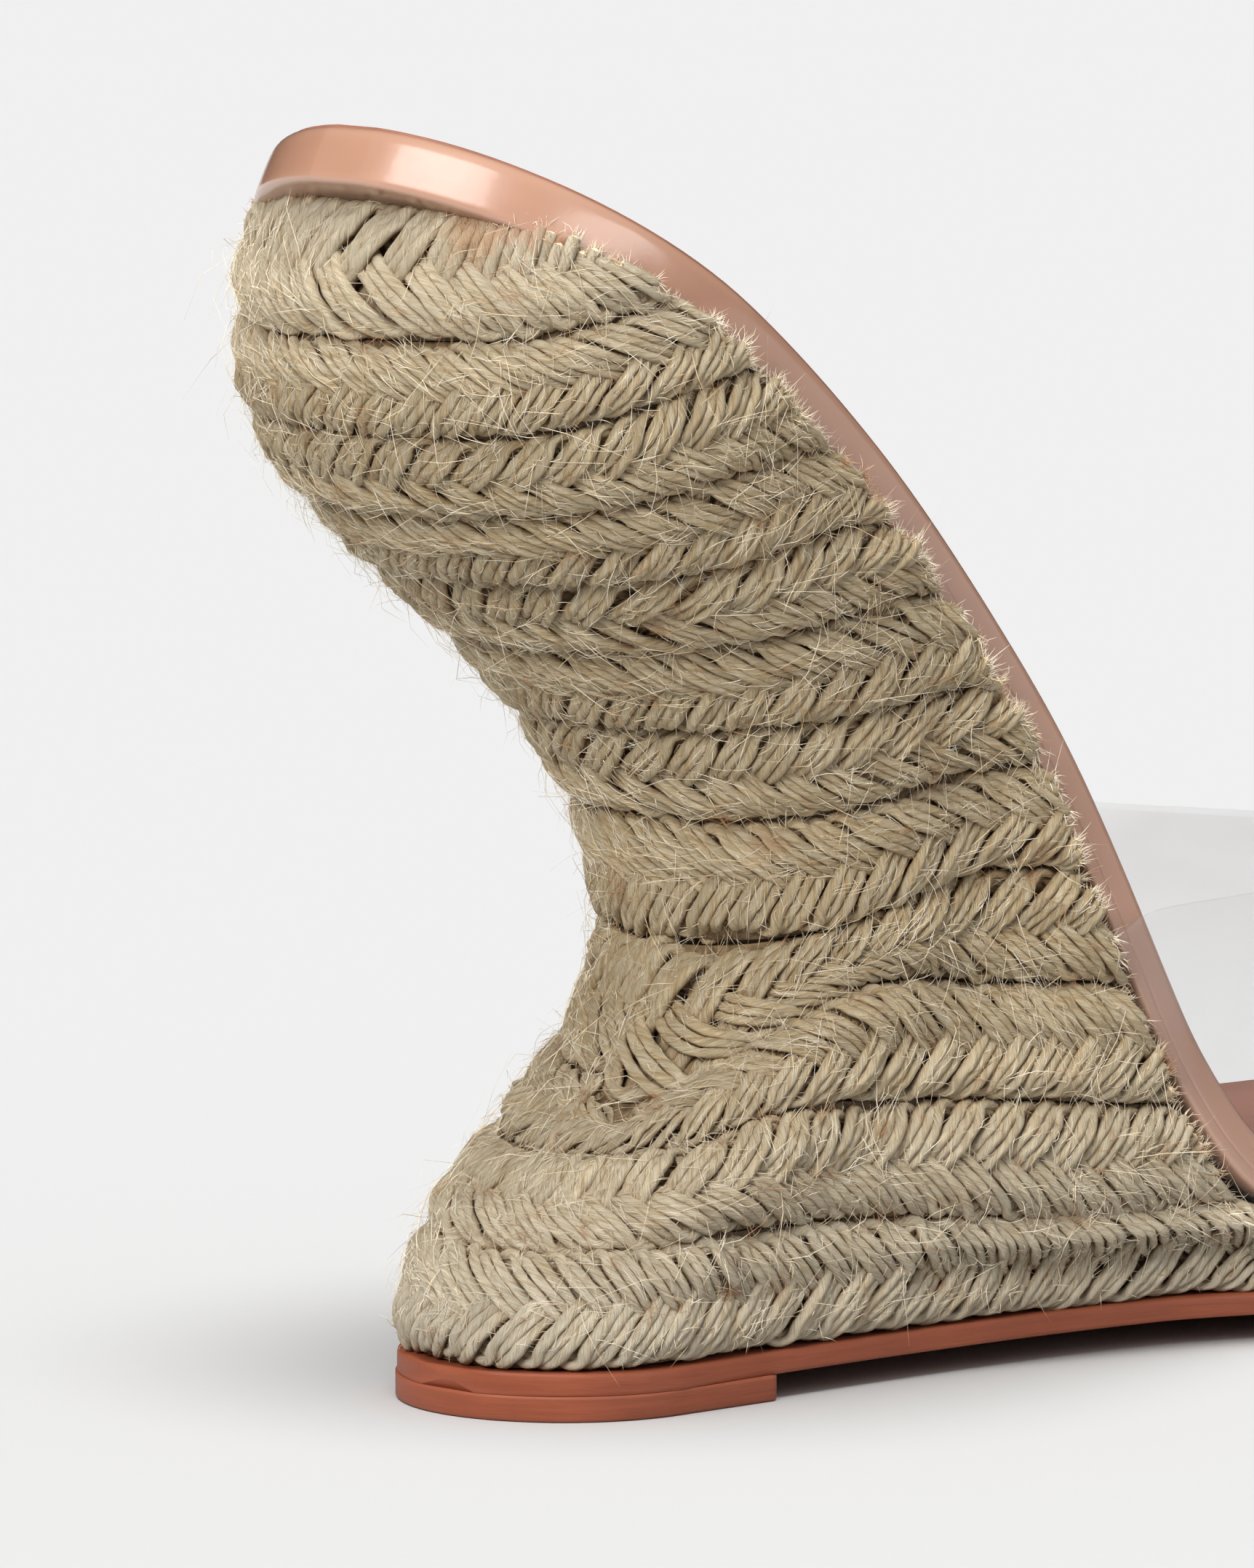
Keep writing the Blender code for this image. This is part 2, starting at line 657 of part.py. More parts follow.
def vamp_arch(station, turn):
    """The vamp over the foot: turn 0 is the inner edge of the footbed and pi the outer edge."""
    rounding = end_rounding(station)
    inner = -(inner_half(station) * rounding + VAMP_STAND_OFF)
    outer = outer_half(station) * rounding + VAMP_STAND_OFF
    centre = (inner + outer) / 2
    half = (outer - inner) / 2
    y = centre - half * np.sign(np.cos(turn)) * np.abs(np.cos(turn)) ** VAMP_FULLNESS
    height = crown_height(station) * np.sin(turn) ** VAMP_FULLNESS * (1 + VAMP_SKEW * np.cos(turn))
    points = on_footbed(station, y, 0.0)
    lean = np.radians(vamp_pitch(station))
    points[..., 0] += height * np.sin(lean)
    points[..., 2] += height * np.cos(lean)
    return points


def topline_station(turn):
    """The station where the vamp's rear edge sits, so that the edge runs at its stated height."""
    inner, crest, outer = TOPLINE_Z
    side = inner if turn < math.pi / 2 else outer
    target = side + (crest - side) * math.sin(turn) ** 2
    station = np.linspace(95, 200, 841)
    below = vamp_arch(station, turn)[:, 2] <= target
    return float(station[np.argmax(below)])


def vamp_strap():
    """Clear strap over the forefoot, turned round the footbed's edge and tucked beneath it."""
    turns = np.linspace(0, math.pi, 15)
    columns = []
    for turn in turns:
        front = VAMP_FRONT_SIDE + (VAMP_FRONT_CREST - VAMP_FRONT_SIDE) * math.sin(turn)
        columns.append(vamp_arch(bend_spacing(topline_station(turn), front, VAMP_SAMPLES), turn))
    wrap = ((0.0, VAMP_RIM_DEPTH), (0.0, RAND_BOTTOM - 0.6), (0.5, RAND_BOTTOM + 0.3),
            (1.4, MARGIN_DEPTH), (VAMP_MARGIN / 2, MARGIN_DEPTH), (VAMP_MARGIN, MARGIN_DEPTH))
    for sign, half, turn in ((-1, inner_half, 0.0), (1, outer_half, math.pi)):
        station = bend_spacing(topline_station(turn), VAMP_FRONT_SIDE, VAMP_SAMPLES)
        edge = half(station) * end_rounding(station) + VAMP_STAND_OFF
        wrapped = []
        for inset, depth in wrap:
            outer_depth = depth + (PVC_THICKNESS if inset > 0.4 else 0)
            wrapped.append(on_footbed(station, sign * (edge - inset), outer_depth))
        if sign < 0:
            columns = wrapped[::-1] + columns
        else:
            columns = columns + wrapped
    surface = np.stack(columns, 1)[:, ::-1]
    return shell("vamp_strap", surface, PVC_THICKNESS, "pvc")


# ---------------------------------------------------------------- assembly

def build():
    for leftover in list(bpy.data.objects):
        bpy.data.objects.remove(leftover)
    scene = bpy.context.scene
    for name in ("wedge_sandal", "cutters"):
        scene.collection.children.link(bpy.data.collections.new(name))

    outsole()
    heel_top_piece()
    lines, outwards = wall_lines()
    core = wedge_core(lines, outwards)
    forefoot_filler()
    jute_foxing(lines, outwards)
    for level in range(1, ROW_COUNT):
        name = f"jute_braid_{level + 1:02d}"
        band(name, lines[level], lines[level + 1], outwards[level], outwards[level + 1], "jute")

    board = footbed_sheet("insole_board", BOARD_DEPTH, BOARD_THICKNESS, BOARD_INSET, "board")
    footbed_sheet("footbed_foam", LIP_DEPTH, RAND_THICKNESS, FOAM_INSET, "foam")
    footbed_sheet("sock_lining", 0.0, SOCK_THICKNESS, SOCK_INSET, "sock")
    footbed_rand()
    strip = shank()
    vamp_strap()

    add_fasteners(board, strip, core)


def add_fasteners(board, strip, core):
    """Two rivets hold the shank to the board; a screw and four nails hold the board to the wedge."""
    top = BOARD_DEPTH + HEAD_SINK
    rivet_end = FLANGE_DEPTH + SHANK_THICKNESS
    screw_end = top + SCREW_LENGTH
    nail_end = top + NAIL_LENGTH
    rivet = ((2.6, 0.8), 1.4, (board, strip))
    screw = ((3.6, 1.5), 2.0, (board, strip, core))
    nail = ((1.9, 0.7), 0.8, (board, core))
    fasteners = (
        ("shank_rivet_rear", (50, 0), rivet_end, *rivet),
        ("shank_rivet_front", (128, 0), rivet_end, *rivet),
        ("heel_seat_screw", (30, 0), screw_end, *screw),
        ("heel_nail_1", (16, -9), nail_end, *nail),
        ("heel_nail_2", (16, 9), nail_end, *nail),
        ("heel_nail_3", (42, -11), nail_end, *nail),
        ("heel_nail_4", (42, 11), nail_end, *nail),
    )
    for name, place, bottom, head, shaft, cut_from in fasteners:
        turned_pin(name, place, top, bottom, head, shaft, "steel")
        radius, height = head
        wider_head = (radius + HOLE_ROOM, height)
        hole = turned_pin("hole_" + name, place, top - HOLE_HIGHER, bottom + HOLE_DEEPER, wider_head,
                          shaft + HOLE_ROOM, None, "cutters", HOLE_HIGHER + HEAD_EDGE + HOLE_ROOM)
        hole.hide_render = True
        hole.display_type = "WIRE"
        for target in cut_from:
            cut(target, hole)


build()
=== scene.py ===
"""Looks of a wedge mule sandal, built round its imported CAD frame: plaited jute rows, a patent rand,
a clear vinyl band, leather soles, a pale floor and soft studio light. Lengths are in millimetres until
a mesh is made.
"""

import json
import math

import bpy
import numpy as np
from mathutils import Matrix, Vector

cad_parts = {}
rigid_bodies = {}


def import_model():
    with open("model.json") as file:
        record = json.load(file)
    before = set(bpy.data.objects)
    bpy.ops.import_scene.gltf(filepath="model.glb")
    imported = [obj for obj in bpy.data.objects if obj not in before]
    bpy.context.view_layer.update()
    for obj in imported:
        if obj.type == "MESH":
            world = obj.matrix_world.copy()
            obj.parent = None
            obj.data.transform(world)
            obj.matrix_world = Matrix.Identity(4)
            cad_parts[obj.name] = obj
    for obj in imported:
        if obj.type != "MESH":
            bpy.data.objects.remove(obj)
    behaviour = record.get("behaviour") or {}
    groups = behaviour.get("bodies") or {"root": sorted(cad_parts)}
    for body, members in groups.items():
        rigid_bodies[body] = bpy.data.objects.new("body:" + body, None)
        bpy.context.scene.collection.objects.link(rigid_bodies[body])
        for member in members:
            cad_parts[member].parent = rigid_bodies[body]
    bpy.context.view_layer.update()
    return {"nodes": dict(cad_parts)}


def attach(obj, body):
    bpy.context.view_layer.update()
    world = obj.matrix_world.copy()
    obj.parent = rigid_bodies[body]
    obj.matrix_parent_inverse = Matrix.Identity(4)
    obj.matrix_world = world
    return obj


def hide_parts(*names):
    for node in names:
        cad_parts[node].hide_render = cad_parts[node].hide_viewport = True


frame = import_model()

MM = 0.001
TAU = 2 * math.pi
GAP = 0.25

# ---------------------------------------------------------------- dimensions shared with the CAD part

FOOTBED_LENGTH = 245.0
FOOTBED_BACK_X = -26.0
FOOTBED_PITCH = (
    (0, 29), (30, 36), (60, 43.5), (85, 49), (105, 59), (122, 62.5), (139, 58.5),
    (153, 24), (168, 4), (184, 0), (200, -1), (245, -8),
)
BALL_STATION = 184.0
BALL_RIM_Z = 12.6
INNER_HALF = ((0, 27), (32, 27), (55, 26.3), (93, 24.2), (130, 25.2), (146, 28), (160, 33),
              (174, 37.5), (190, 38.5), (212, 36.5), (245, 30))
OUTER_HALF = ((0, 27), (32, 27), (55, 26.8), (93, 26), (130, 30), (145, 34.5), (158, 38.5),
              (175, 40), (195, 37.5), (215, 33), (245, 25))
HEEL_ROUNDING = 32.0
TOE_ROUNDING = 46.0
TOE_SQUARENESS = 2.5
END_ROOM = 0.2
SOCK_THICKNESS = 0.8
SOCK_INSET = 0.5
FLANGE_WIDTH = 7.0
RAND_BOTTOM = 4.75
MARGIN_DEPTH = 5.0
PVC_THICKNESS = 0.7
SEAT_DEPTH = 5.25
VAMP_SEAT_DEPTH = MARGIN_DEPTH + PVC_THICKNESS + 2.8 * GAP
VAMP_SEAT_X = (42.0, 49.0)
SOLE_LIFT = 2.5
SOLE_THICKNESS = 2.2
SOLE_LANDS = (74.0, 104.0)
TOE_SPRING = 3.6
SOLE_TIP_START = 118.0
HEEL_RADIUS = 16.4
HEEL_CENTRE_X = 2.1
HEEL_BREAST_X = 14.4
HEEL_BREAST_HALF = 17.2
HEEL_BREAST_HOLLOW = 1.2
BACK_LINE = (
    (2, -14.5), (8, -14), (13, -12.5), (18, -9.5), (24, -2.5), (30, 5), (36, 11), (42, 14),
    (48, 13.6), (54, 11.4), (60, 7.8), (66, 2.9), (72, -3.6), (78, -11.2), (84, -18.6),
    (90, -25.4), (95, -28.6), (101, -30.6), (107, -30.7), (112, -29.6), (117, -26.5), (124, -22.5),
)
BACK_RADIUS = ((0, 17), (5, 17), (15, 17.6), (30, 19), (48, 21), (60, 23), (80, 26.5), (100, 29),
               (118, 29.5), (130, 29.5))
WRAP_BULGE = 2.0
WRAP_WAIST = 1.25
ROW_LINES = (
    (16.9, 16.6, 14.2), (25.0, 27.8, 24.8), (31.8, 38.2, 36.2), (43.0, 48.6, 48.8), (55.0, 59.8, 60.4),
    (64.0, 68.0, 69.6), (72.2, 77.6, 79.4), (79.4, 85.4, 87.4), (86.4, 92.8, 94.8), (94.8, 101.6, 103.6),
    (104.8, 109.8, 111.0),
)
ROW_COUNT = len(ROW_LINES) + 1
SIDE_RUN = 30.0
FRONT_RUN = 62.0
TOP_ROW_END_X = -16.5
TOP_LINE_Z = 117.4
CORE_FRONT_X = 86.0
CROWN_HEIGHT = ((90, 52), (120, 49), (150, 41), (175, 35), (190, 31.5), (205, 27.5), (225, 23))
VAMP_PITCH = ((90, 60), (118, 54), (140, 40), (160, 20), (180, 6), (200, 0), (225, -4))
TOPLINE_Z = (44.5, 47.0, 51.5)
VAMP_TURNS = 97
VAMP_STATIONS = 90
VAMP_FRONT_SIDE = 222.0
VAMP_FRONT_CREST = 206.0
VAMP_FULLNESS = 0.87
VAMP_SKEW = 0.14
VAMP_MARGIN = 11.0
VAMP_STAND_OFF = GAP + 0.2 + PVC_THICKNESS
VAMP_RIM_DEPTH = 2.6
RIM_STATIONS = 230
SOCK_COLUMNS = 29
SOCK_EDGE = 0.3          # radius of the sock's rounded edge
SOLE_BACK_INSET = 0.5
SOLE_TIP_INSET = 0.6
SOLE_SAMPLES = 320
# Steps round the sole's edge, from its top: share of the softened width, share of the thickness.
SOLE_EDGE = ((1.0, 1.0), (0.4, 0.95), (0.08, 0.84), (0.0, 0.6), (0.0, 0.2), (0.04, 0.04), (0.3, 0.0))
# Steps up the heel's top piece: inset, height.
TOP_PIECE_STEPS = ((1.2, 0.0), (0.35, 0.0), (0.1, 0.08), (0.0, 0.3), (0.0, 1.2), (0.0, 2.2), (0.0, 2.5),
                   (1.2, 2.52))

# ---------------------------------------------------------------- the rand's section: inset, depth

RAND_FULLNESS = 0.05     # hollow at its ends, against its middle
RAND_HEEL_DEEPER = 0.26
RAND_HEEL_REACH = 34.0
CREASE_DEPTH = 0.11
CREASE_WIDTH = 0.11
CREASE_AT = 3.3
CREASE_START = 62.0
CREASE_END = 205.0
CREASE_RUN_OUT = 24
RAND_TURN = ((2.6, 0.45), (1.6, 0.2), (1.05, 0.1), (0.68, 0.14), (0.4, 0.3), (0.2, 0.56), (0.08, 0.9))
RAND_WALL = (*np.linspace(1.2, 2.9, 5), *np.linspace(3.0, 3.6, 11))
RAND_FOOT = ((0.05, 3.9), (0.075, 4.2), (0.13, 4.42), (0.28, 4.6), (0.6, 4.7), (1.05, 4.74),
             (1.6, RAND_BOTTOM), (FLANGE_WIDTH, RAND_BOTTOM))
RAND_INSIDE = ((FLANGE_WIDTH, RAND_BOTTOM - 0.6), (1.7, RAND_BOTTOM - 0.7), (0.9, RAND_BOTTOM - 1.4),
               (0.9, 1.7), (2.6, 1.3))

# ---------------------------------------------------------------- the braid

PLAIT_PERIOD = 22.5      # along the row, for one strand to come back to its place
PLAIT_LIFT = 0.78        # half the height between strands that cross
PLAIT_SHEAR = 0.20       # every row leans, so its falling arms lie flatter than its rising ones
STRANDS = 5              # in a row's plait, each of three yarns
YARNS = (-1, 0, 1)
YARN_RADIUS = 0.57
YARN_SPACING = 0.97
YARN_SIDES = 8
YARN_LOBE = 0.07         # how far a yarn's two soft lobes stand out
FULL_HALF_WIDTH = 5.6    # of a row whose yarns have their full size
YARN_SIZES = (0.55, 1.5)  # least and most of a row's width, against that of a full one
LEAST_SWING = 1.2        # of a strand to each side, however narrow its row
STEEP_SPREAD = 0.09      # how much thinner and closer the yarns lie on one slope, and wider on the other
ZIGZAG = 0.95            # how straight a strand runs between its turns
BRAID_DEPTH = -1.1       # of the braid's middle, against the wall surface
EDGE_ROOM = 0.95         # between a strand's turn and the row's edge
FOLD = 2.4               # how suddenly a strand turns on its side there
FOLD_RISE = 0.55         # how high it stands then, against its width
PILLOW = 0.9             # how far a row's edges fall away from its middle
RING_STEP = 0.5
SHORTEST_RUN = 9         # points of a yarn that are worth a tube
TOP_ROW_RISE = 1.5       # of the plaited top row's upper edge, which nestles under the rand
TIP_BULGE = 0.4          # of the wall across the toe's end
RIM_OVERLAP = 0.3        # cut ends reach this far above the underside of the footbed
BEYOND_RIM = 9.0         # rows are laid out this far past the place where they are cut off
ROW_COLUMNS = 260
FRACTIONS = np.linspace(0, 1, 5)

# Smooth seeded wandering: length of a step along the row, size.
DRIFT_WANDER = (16, 0.22)
WIDTH_WANDER = (9, 0.035)
SPIN_WANDER = (7, 0.16)
SWAY_WANDER = (6, 0.14)
YARN_WANDER = (4, 0.07)
HEIGHT_WANDER = (5, 0.10)
THICKNESS_WANDER = (3, 0.06)

# Where the real rows wander from their lines on the inner side: level, distance from the back, reach, rise.
LINE_BUMPS = ((3, 20, 9, 3.2), (3, 6, 5, -2.4), (2, 20, 8, 1.9), (5, -4, 8, 2.6), (4, 28, 14, 1.0))
# Openings in the wrapping: row, distance from the back, share of the row's width, half length, half height.
HOLES = ((3, 7, 0.80, 2.6, 2.0), (5, 8, 0.03, 3.6, 1.2), (4, 8, 0.99, 3.6, 0.9))

# Orange and brown bast in the jute: row, distance from the back, share of the row's width, reach, colour.
STAINS = ((12, 16.5, 0.78, 3.2, (0.66, 0.36, 0.18)), (12, 21.5, 0.80, 2.4, (0.70, 0.38, 0.24)),
          (5, 14, 0.85, 1.6, (0.60, 0.36, 0.18)), (5, 43, 0.10, 1.8, (0.62, 0.38, 0.20)),
          (1, 29.5, 0.97, 0.8, (0.30, 0.13, 0.06)), (1, 30.2, 0.78, 0.8, (0.28, 0.12, 0.06)),
          (1, 30.8, 0.55, 0.9, (0.32, 0.15, 0.07)))

HOLE_DEPTH = 2.2
PAINTED_LIGHT_BELOW = 0.036  # metres above the floor, as materials measure; the jute is painted paler below this, as painted light from the floor's bounce
PAINTED_LIGHT_ABOVE = 0.098  # and above this, as painted light falling on the top rows
HAIRS_PER_MM = 1.15
HAIR_BEND = 24.0         # radius of the curve that hairs follow with the wall
HAIR_POINTS = 4
HAIR_RISE = 0.06         # of a hair's middle, against its length
HAIR_CURL = 0.45
HAIR_DROOP = 0.25
LONG_SHARE = 0.28        # of the hairs, the long ones that lie across the row
TUFT_HAIRS = 22
TUFT_SPREAD = 0.42
SHADE_LAYER_DEPTHS = (-1.15, -2.1)  # top and bottom of the dark layer of painted shade under the strands, against the braid's middle


def smooth_table(stations):
    """A function through the stations that never overshoots between them."""
    at, value = np.array(stations, float).T
    step = np.diff(at)
    slope = np.diff(value) / step
    tangent = np.zeros(len(at))
    for i in range(1, len(at) - 1):
        if slope[i - 1] * slope[i] > 0:
            tangent[i] = 2 * slope[i - 1] * slope[i] / (slope[i - 1] + slope[i])
    tangent[0] = slope[0]
    tangent[-1] = slope[-1]

    def evaluate(x):
        x = np.clip(np.asarray(x, float), at[0], at[-1])
        i = np.clip(np.searchsorted(at, x) - 1, 0, len(step) - 1)
        t = (x - at[i]) / step[i]
        rise = value[i + 1] - value[i]
        bend_in = tangent[i] * step[i]
        bend_out = tangent[i + 1] * step[i]
        blend = t * t * (3 - 2 * t)
        return value[i] + rise * blend + bend_in * t * (1 - t) ** 2 - bend_out * t * t * (1 - t)

    return evaluate


def ease(t):
    t = np.clip(t, 0, 1)
    return t * t * (3 - 2 * t)


def unit(vectors):
    return vectors / np.maximum(np.linalg.norm(vectors, axis=-1, keepdims=True), 1e-9)


def lengths_along(line):
    return np.concatenate([[0], np.cumsum(np.linalg.norm(np.diff(line, axis=0), axis=1))])


def between(at, spaced, points):
    """Points at distances along a line whose own points are spaced so."""
    return np.stack([np.interp(at, spaced, points[:, k]) for k in range(points.shape[1])], -1)


# ---------------------------------------------------------------- the footbed as a surface

ARC = np.linspace(-6, FOOTBED_LENGTH + 6, 1029)
ARC_PITCH = np.radians(smooth_table(FOOTBED_PITCH)(ARC))


def integrate(rate):
    steps = (rate[1:] + rate[:-1]) / 2 * np.diff(ARC)
    return np.concatenate([[0.0], np.cumsum(steps)])


RIM_X = integrate(np.cos(ARC_PITCH))
RIM_Z = integrate(-np.sin(ARC_PITCH))
RIM_X += FOOTBED_BACK_X - np.interp(0, ARC, RIM_X)
RIM_Z += BALL_RIM_Z - np.interp(BALL_STATION, ARC, RIM_Z)
inner_half = smooth_table(INNER_HALF)
outer_half = smooth_table(OUTER_HALF)


def on_footbed(station, y, depth):
    """The point at a station and a width, at a depth square to the footbed."""
    station = np.asarray(station, float)
    pitch = np.interp(station, ARC, ARC_PITCH)
    x = np.interp(station, ARC, RIM_X) - depth * np.sin(pitch)
    z = np.interp(station, ARC, RIM_Z) - depth * np.cos(pitch)
    return np.stack(np.broadcast_arrays(x, y, z), -1)


def under_footbed(depth):
    line = on_footbed(ARC, 0.0, depth)
    return lambda x: np.interp(x, line[:, 0], line[:, 2])


def end_rounding(station):
    heel = np.clip(1 - (station + END_ROOM) / HEEL_ROUNDING, 0, 1)
    toe = np.clip(1 - (FOOTBED_LENGTH + END_ROOM - station) / TOE_ROUNDING, 0, 1)
    return np.sqrt(1 - heel**2) * (1 - toe**TOE_SQUARENESS) ** (1 / TOE_SQUARENESS)


def spread_stations(count):
    """Stations of the footbed, crowded where its ends are round."""
    heel = HEEL_ROUNDING * (1 - np.cos(np.linspace(0, math.pi / 2, 26)))
    toe_start = FOOTBED_LENGTH - TOE_ROUNDING
    toe = toe_start + TOE_ROUNDING * np.sin(np.linspace(0, math.pi / 2, 26))
    middle = np.linspace(HEEL_ROUNDING, toe_start, count)
    return np.concatenate([heel[:-1], middle[:-1], toe])


def footbed_sides(inset, station):
    rounding = end_rounding(station)
    sides = []
    for sign, half in ((-1, inner_half), (1, outer_half)):
        y = sign * half(station) * rounding
        run = np.gradient(station)
        rise = np.gradient(y)
        length = np.hypot(run, rise)
        sides.append(np.stack([station + sign * inset * rise / length,
                               y - sign * inset * run / length], -1))
    return sides


# ---------------------------------------------------------------- the wrapped wall as a surface

back_line = smooth_table(BACK_LINE)
back_radius = smooth_table(BACK_RADIUS)
seat_line = under_footbed(SEAT_DEPTH)
vamp_seat_line = under_footbed(VAMP_SEAT_DEPTH)
FINE_STATIONS = FOOTBED_LENGTH * (1 - np.cos(np.linspace(0, math.pi, 400))) / 2
WIDEST = [on_footbed(side[:, 0], side[:, 1], 0.0) for side in footbed_sides(-WRAP_BULGE, FINE_STATIONS)]
TIP_X = WIDEST[0][-1, 0]


def wrap_top(x):
    share = ease((x - VAMP_SEAT_X[0]) / (VAMP_SEAT_X[1] - VAMP_SEAT_X[0]))
    return seat_line(x) * (1 - share) + vamp_seat_line(x) * share


def sole_bottom(x):
    landed = ease((x - SOLE_LANDS[0]) / (SOLE_LANDS[1] - SOLE_LANDS[0]))
    sprung = np.clip((x - SOLE_TIP_START) / (TIP_X - SOLE_TIP_START), 0, 1) ** 2
    return SOLE_LIFT * (1 - landed) + TOE_SPRING * sprung


def wrap_bottom(x):
    return sole_bottom(x) + SOLE_THICKNESS + GAP


def wall_half(x, z, side):
    """Half width of the wrapped wall: round at the back, easing out to the footbed's edge in front."""
    radius = back_radius(z)
    back = back_line(z)
    turned = np.clip((back + radius - x) / radius, 0, 1)
    round_part = radius * np.sqrt(1 - turned**2)
    shoulder = back + radius
    meets = np.interp(-z, -wrap_top(RIM_X), RIM_X)
    meets = np.clip(meets, None, SOLE_LANDS[1])
    share = ease(np.clip((x - shoulder) / np.maximum(meets - shoulder, 1e-6), 0, 1) ** WRAP_WAIST)
    share = np.where(meets > shoulder, share, 0)
    edge = np.interp(x, WIDEST[side][:, 0], np.abs(WIDEST[side][:, 1]))
    return np.where(x < shoulder, round_part, radius + (edge - radius) * share)


def level_height(level, x):
    if level == 0:
        return wrap_bottom(x)
    if level == ROW_COUNT:
        return np.full_like(x, TOP_LINE_Z + TOP_ROW_RISE)
    back, side, front = ROW_LINES[level - 1]
    start = back_line(back)
    height = back + (side - back) * ease((x - start) / SIDE_RUN)
    return height + (front - side) * ease((x - start - SIDE_RUN) / (FRONT_RUN - SIDE_RUN))


def line_height(level, x, side=1):
    """Height at x of a row line; a level between two whole ones lies between their lines."""
    low = int(math.floor(level))
    share = level - low
    height = level_height(low, x)
    if share:
        height = height * (1 - share) + level_height(low + 1, x) * share
    if side == 0:
        from_back = x - back_line(height) + 0.4 * back_radius(height)
        for bump_level, where, reach, rise in LINE_BUMPS:
            near = max(0.0, 1 - abs(level - bump_level))
            height = height + near * rise * np.exp(-(((from_back - where) / reach) ** 2))
    return height


def line_start(level, side):
    """The x where a row line crosses the back of the wall."""
    x = np.linspace(-34, 24, 2321)
    off = x - back_line(line_height(level, x, side))
    crossed = np.flatnonzero((off[1:] >= 0) & (off[:-1] < 0))
    return float(x[crossed[0] + 1])


def line_reach(level):
    """The x where a row line runs into the footbed's underside."""
    if level >= ROW_COUNT:
        return TOP_ROW_END_X
    x = np.linspace(-20, CORE_FRONT_X, 1061)
    clear = wrap_top(x) - line_height(level, x)
    crossed = np.flatnonzero((clear[1:] <= 0) & (clear[:-1] > 0))
    return x[crossed[0]] if len(crossed) else CORE_FRONT_X


class Row:
    """A strip of the wall between two row lines: (u, share of its width, height off the wall) to a point."""

    def __init__(self, number):
        self.number = number
        self.closed = number == 1
        inner, outer = (self.half(side) for side in (0, 1))
        self.grid = np.concatenate([inner[:, :0:-1], outer], axis=1)
        middle = self.grid[len(FRACTIONS) // 2]
        self.u = lengths_along(middle)
        self.u -= self.u[inner.shape[1] - 1]
        across = np.gradient(self.grid, axis=0)
        along = np.gradient(self.grid, axis=1)
        self.normal = unit(np.cross(across, along))
        self.half_width = np.linalg.norm(self.grid[-1] - self.grid[0], axis=-1) / 2

    def half(self, side):
        low = self.number - 1
        levels = low + FRACTIONS
        lines = []
        if self.closed:
            for level in levels:
                start = line_start(level, side)
                back = np.linspace(0, math.pi / 2, ROW_COLUMNS)
                middle_x = 60.0
                x = start + (middle_x - start) * (1 - np.cos(back))
                x = np.concatenate([x, middle_x + (TIP_X - middle_x) * np.sin(back[1:])])
                z = wrap_bottom(x) * (low + 1 - level) + (level - low) * np.minimum(
                    level_height(1, x), wrap_top(x))
                y = wall_half(x, z, side)
                y[0] = 0.0
                tip = np.linspace(1, 0, 9)[1:]
                x = np.concatenate([x, TIP_X + TIP_BULGE * (1 - tip**2)])
                y = np.concatenate([y, y[-1] * tip])
                z = np.concatenate([z, np.full_like(tip, z[-1])])
                lines.append(np.stack([x, y if side else -y, z], -1))
            return np.array(lines)
        end = max(line_reach(low), line_reach(low + 1)) + BEYOND_RIM
        for level in levels:
            start = line_start(level, side)
            x = start + (end - start) * (1 - np.cos(np.linspace(0, math.pi / 2, 420)))
            z = line_height(level, x, side)
            y = wall_half(x, z, side)
            y[0] = 0.0
            lines.append(np.stack([x, y if side else -y, z], -1))
        middle = lines[len(FRACTIONS) // 2]
        spaced = lengths_along(middle)
        places = np.linspace(0, spaced[-1] - 1.0, ROW_COLUMNS)
        centre = between(places, spaced, middle)
        tangent = unit(np.gradient(centre, axis=0))
        tangent[0] = (0, 1 if side else -1, 0)
        out = []
        for line in lines:
            off = np.einsum("kc,jc->jk", line, tangent) - np.einsum("jc,jc->j", centre, tangent)[:, None]
            off = np.maximum.accumulate(off, axis=1)
            order = np.arange(line.shape[0])
            at = np.array([np.interp(0.0, row + order * 1e-9, order) for row in off])
            out.append(between(at, order, line))
        return np.array(out)

    def sample(self, grid, u, share):
        column = np.interp(u, self.u, np.arange(len(self.u)))
        row = np.clip(share, 0, 1) * (len(FRACTIONS) - 1)
        i = np.clip(column.astype(int), 0, len(self.u) - 2)
        j = np.clip(row.astype(int), 0, len(FRACTIONS) - 2)
        a = (column - i)[:, None]
        b = (row - j)[:, None]
        low = grid[j, i] * (1 - a) + grid[j, i + 1] * a
        high = grid[j + 1, i] * (1 - a) + grid[j + 1, i + 1] * a
        return low * (1 - b) + high * b

    def place(self, u, v, w):
        """Points at distance u along, v across from the middle and w off the wall, with their normals."""
        if self.closed:
            u = self.u[0] + (u - self.u[0]) % (self.u[-1] - self.u[0])
        half = np.interp(u, self.u, self.half_width)
        share = 0.5 + v / (2 * half)
        normal = unit(self.sample(self.normal, u, share))
        beyond = (share - np.clip(share, 0, 1))[:, None] * 2 * half[:, None]
        across = unit(self.sample(self.grid, u, np.ones_like(u)) - self.sample(self.grid, u, 0 * u))
        return self.sample(self.grid, u, share) + across * beyond + normal * w[:, None], normal


# ---------------------------------------------------------------- meshes

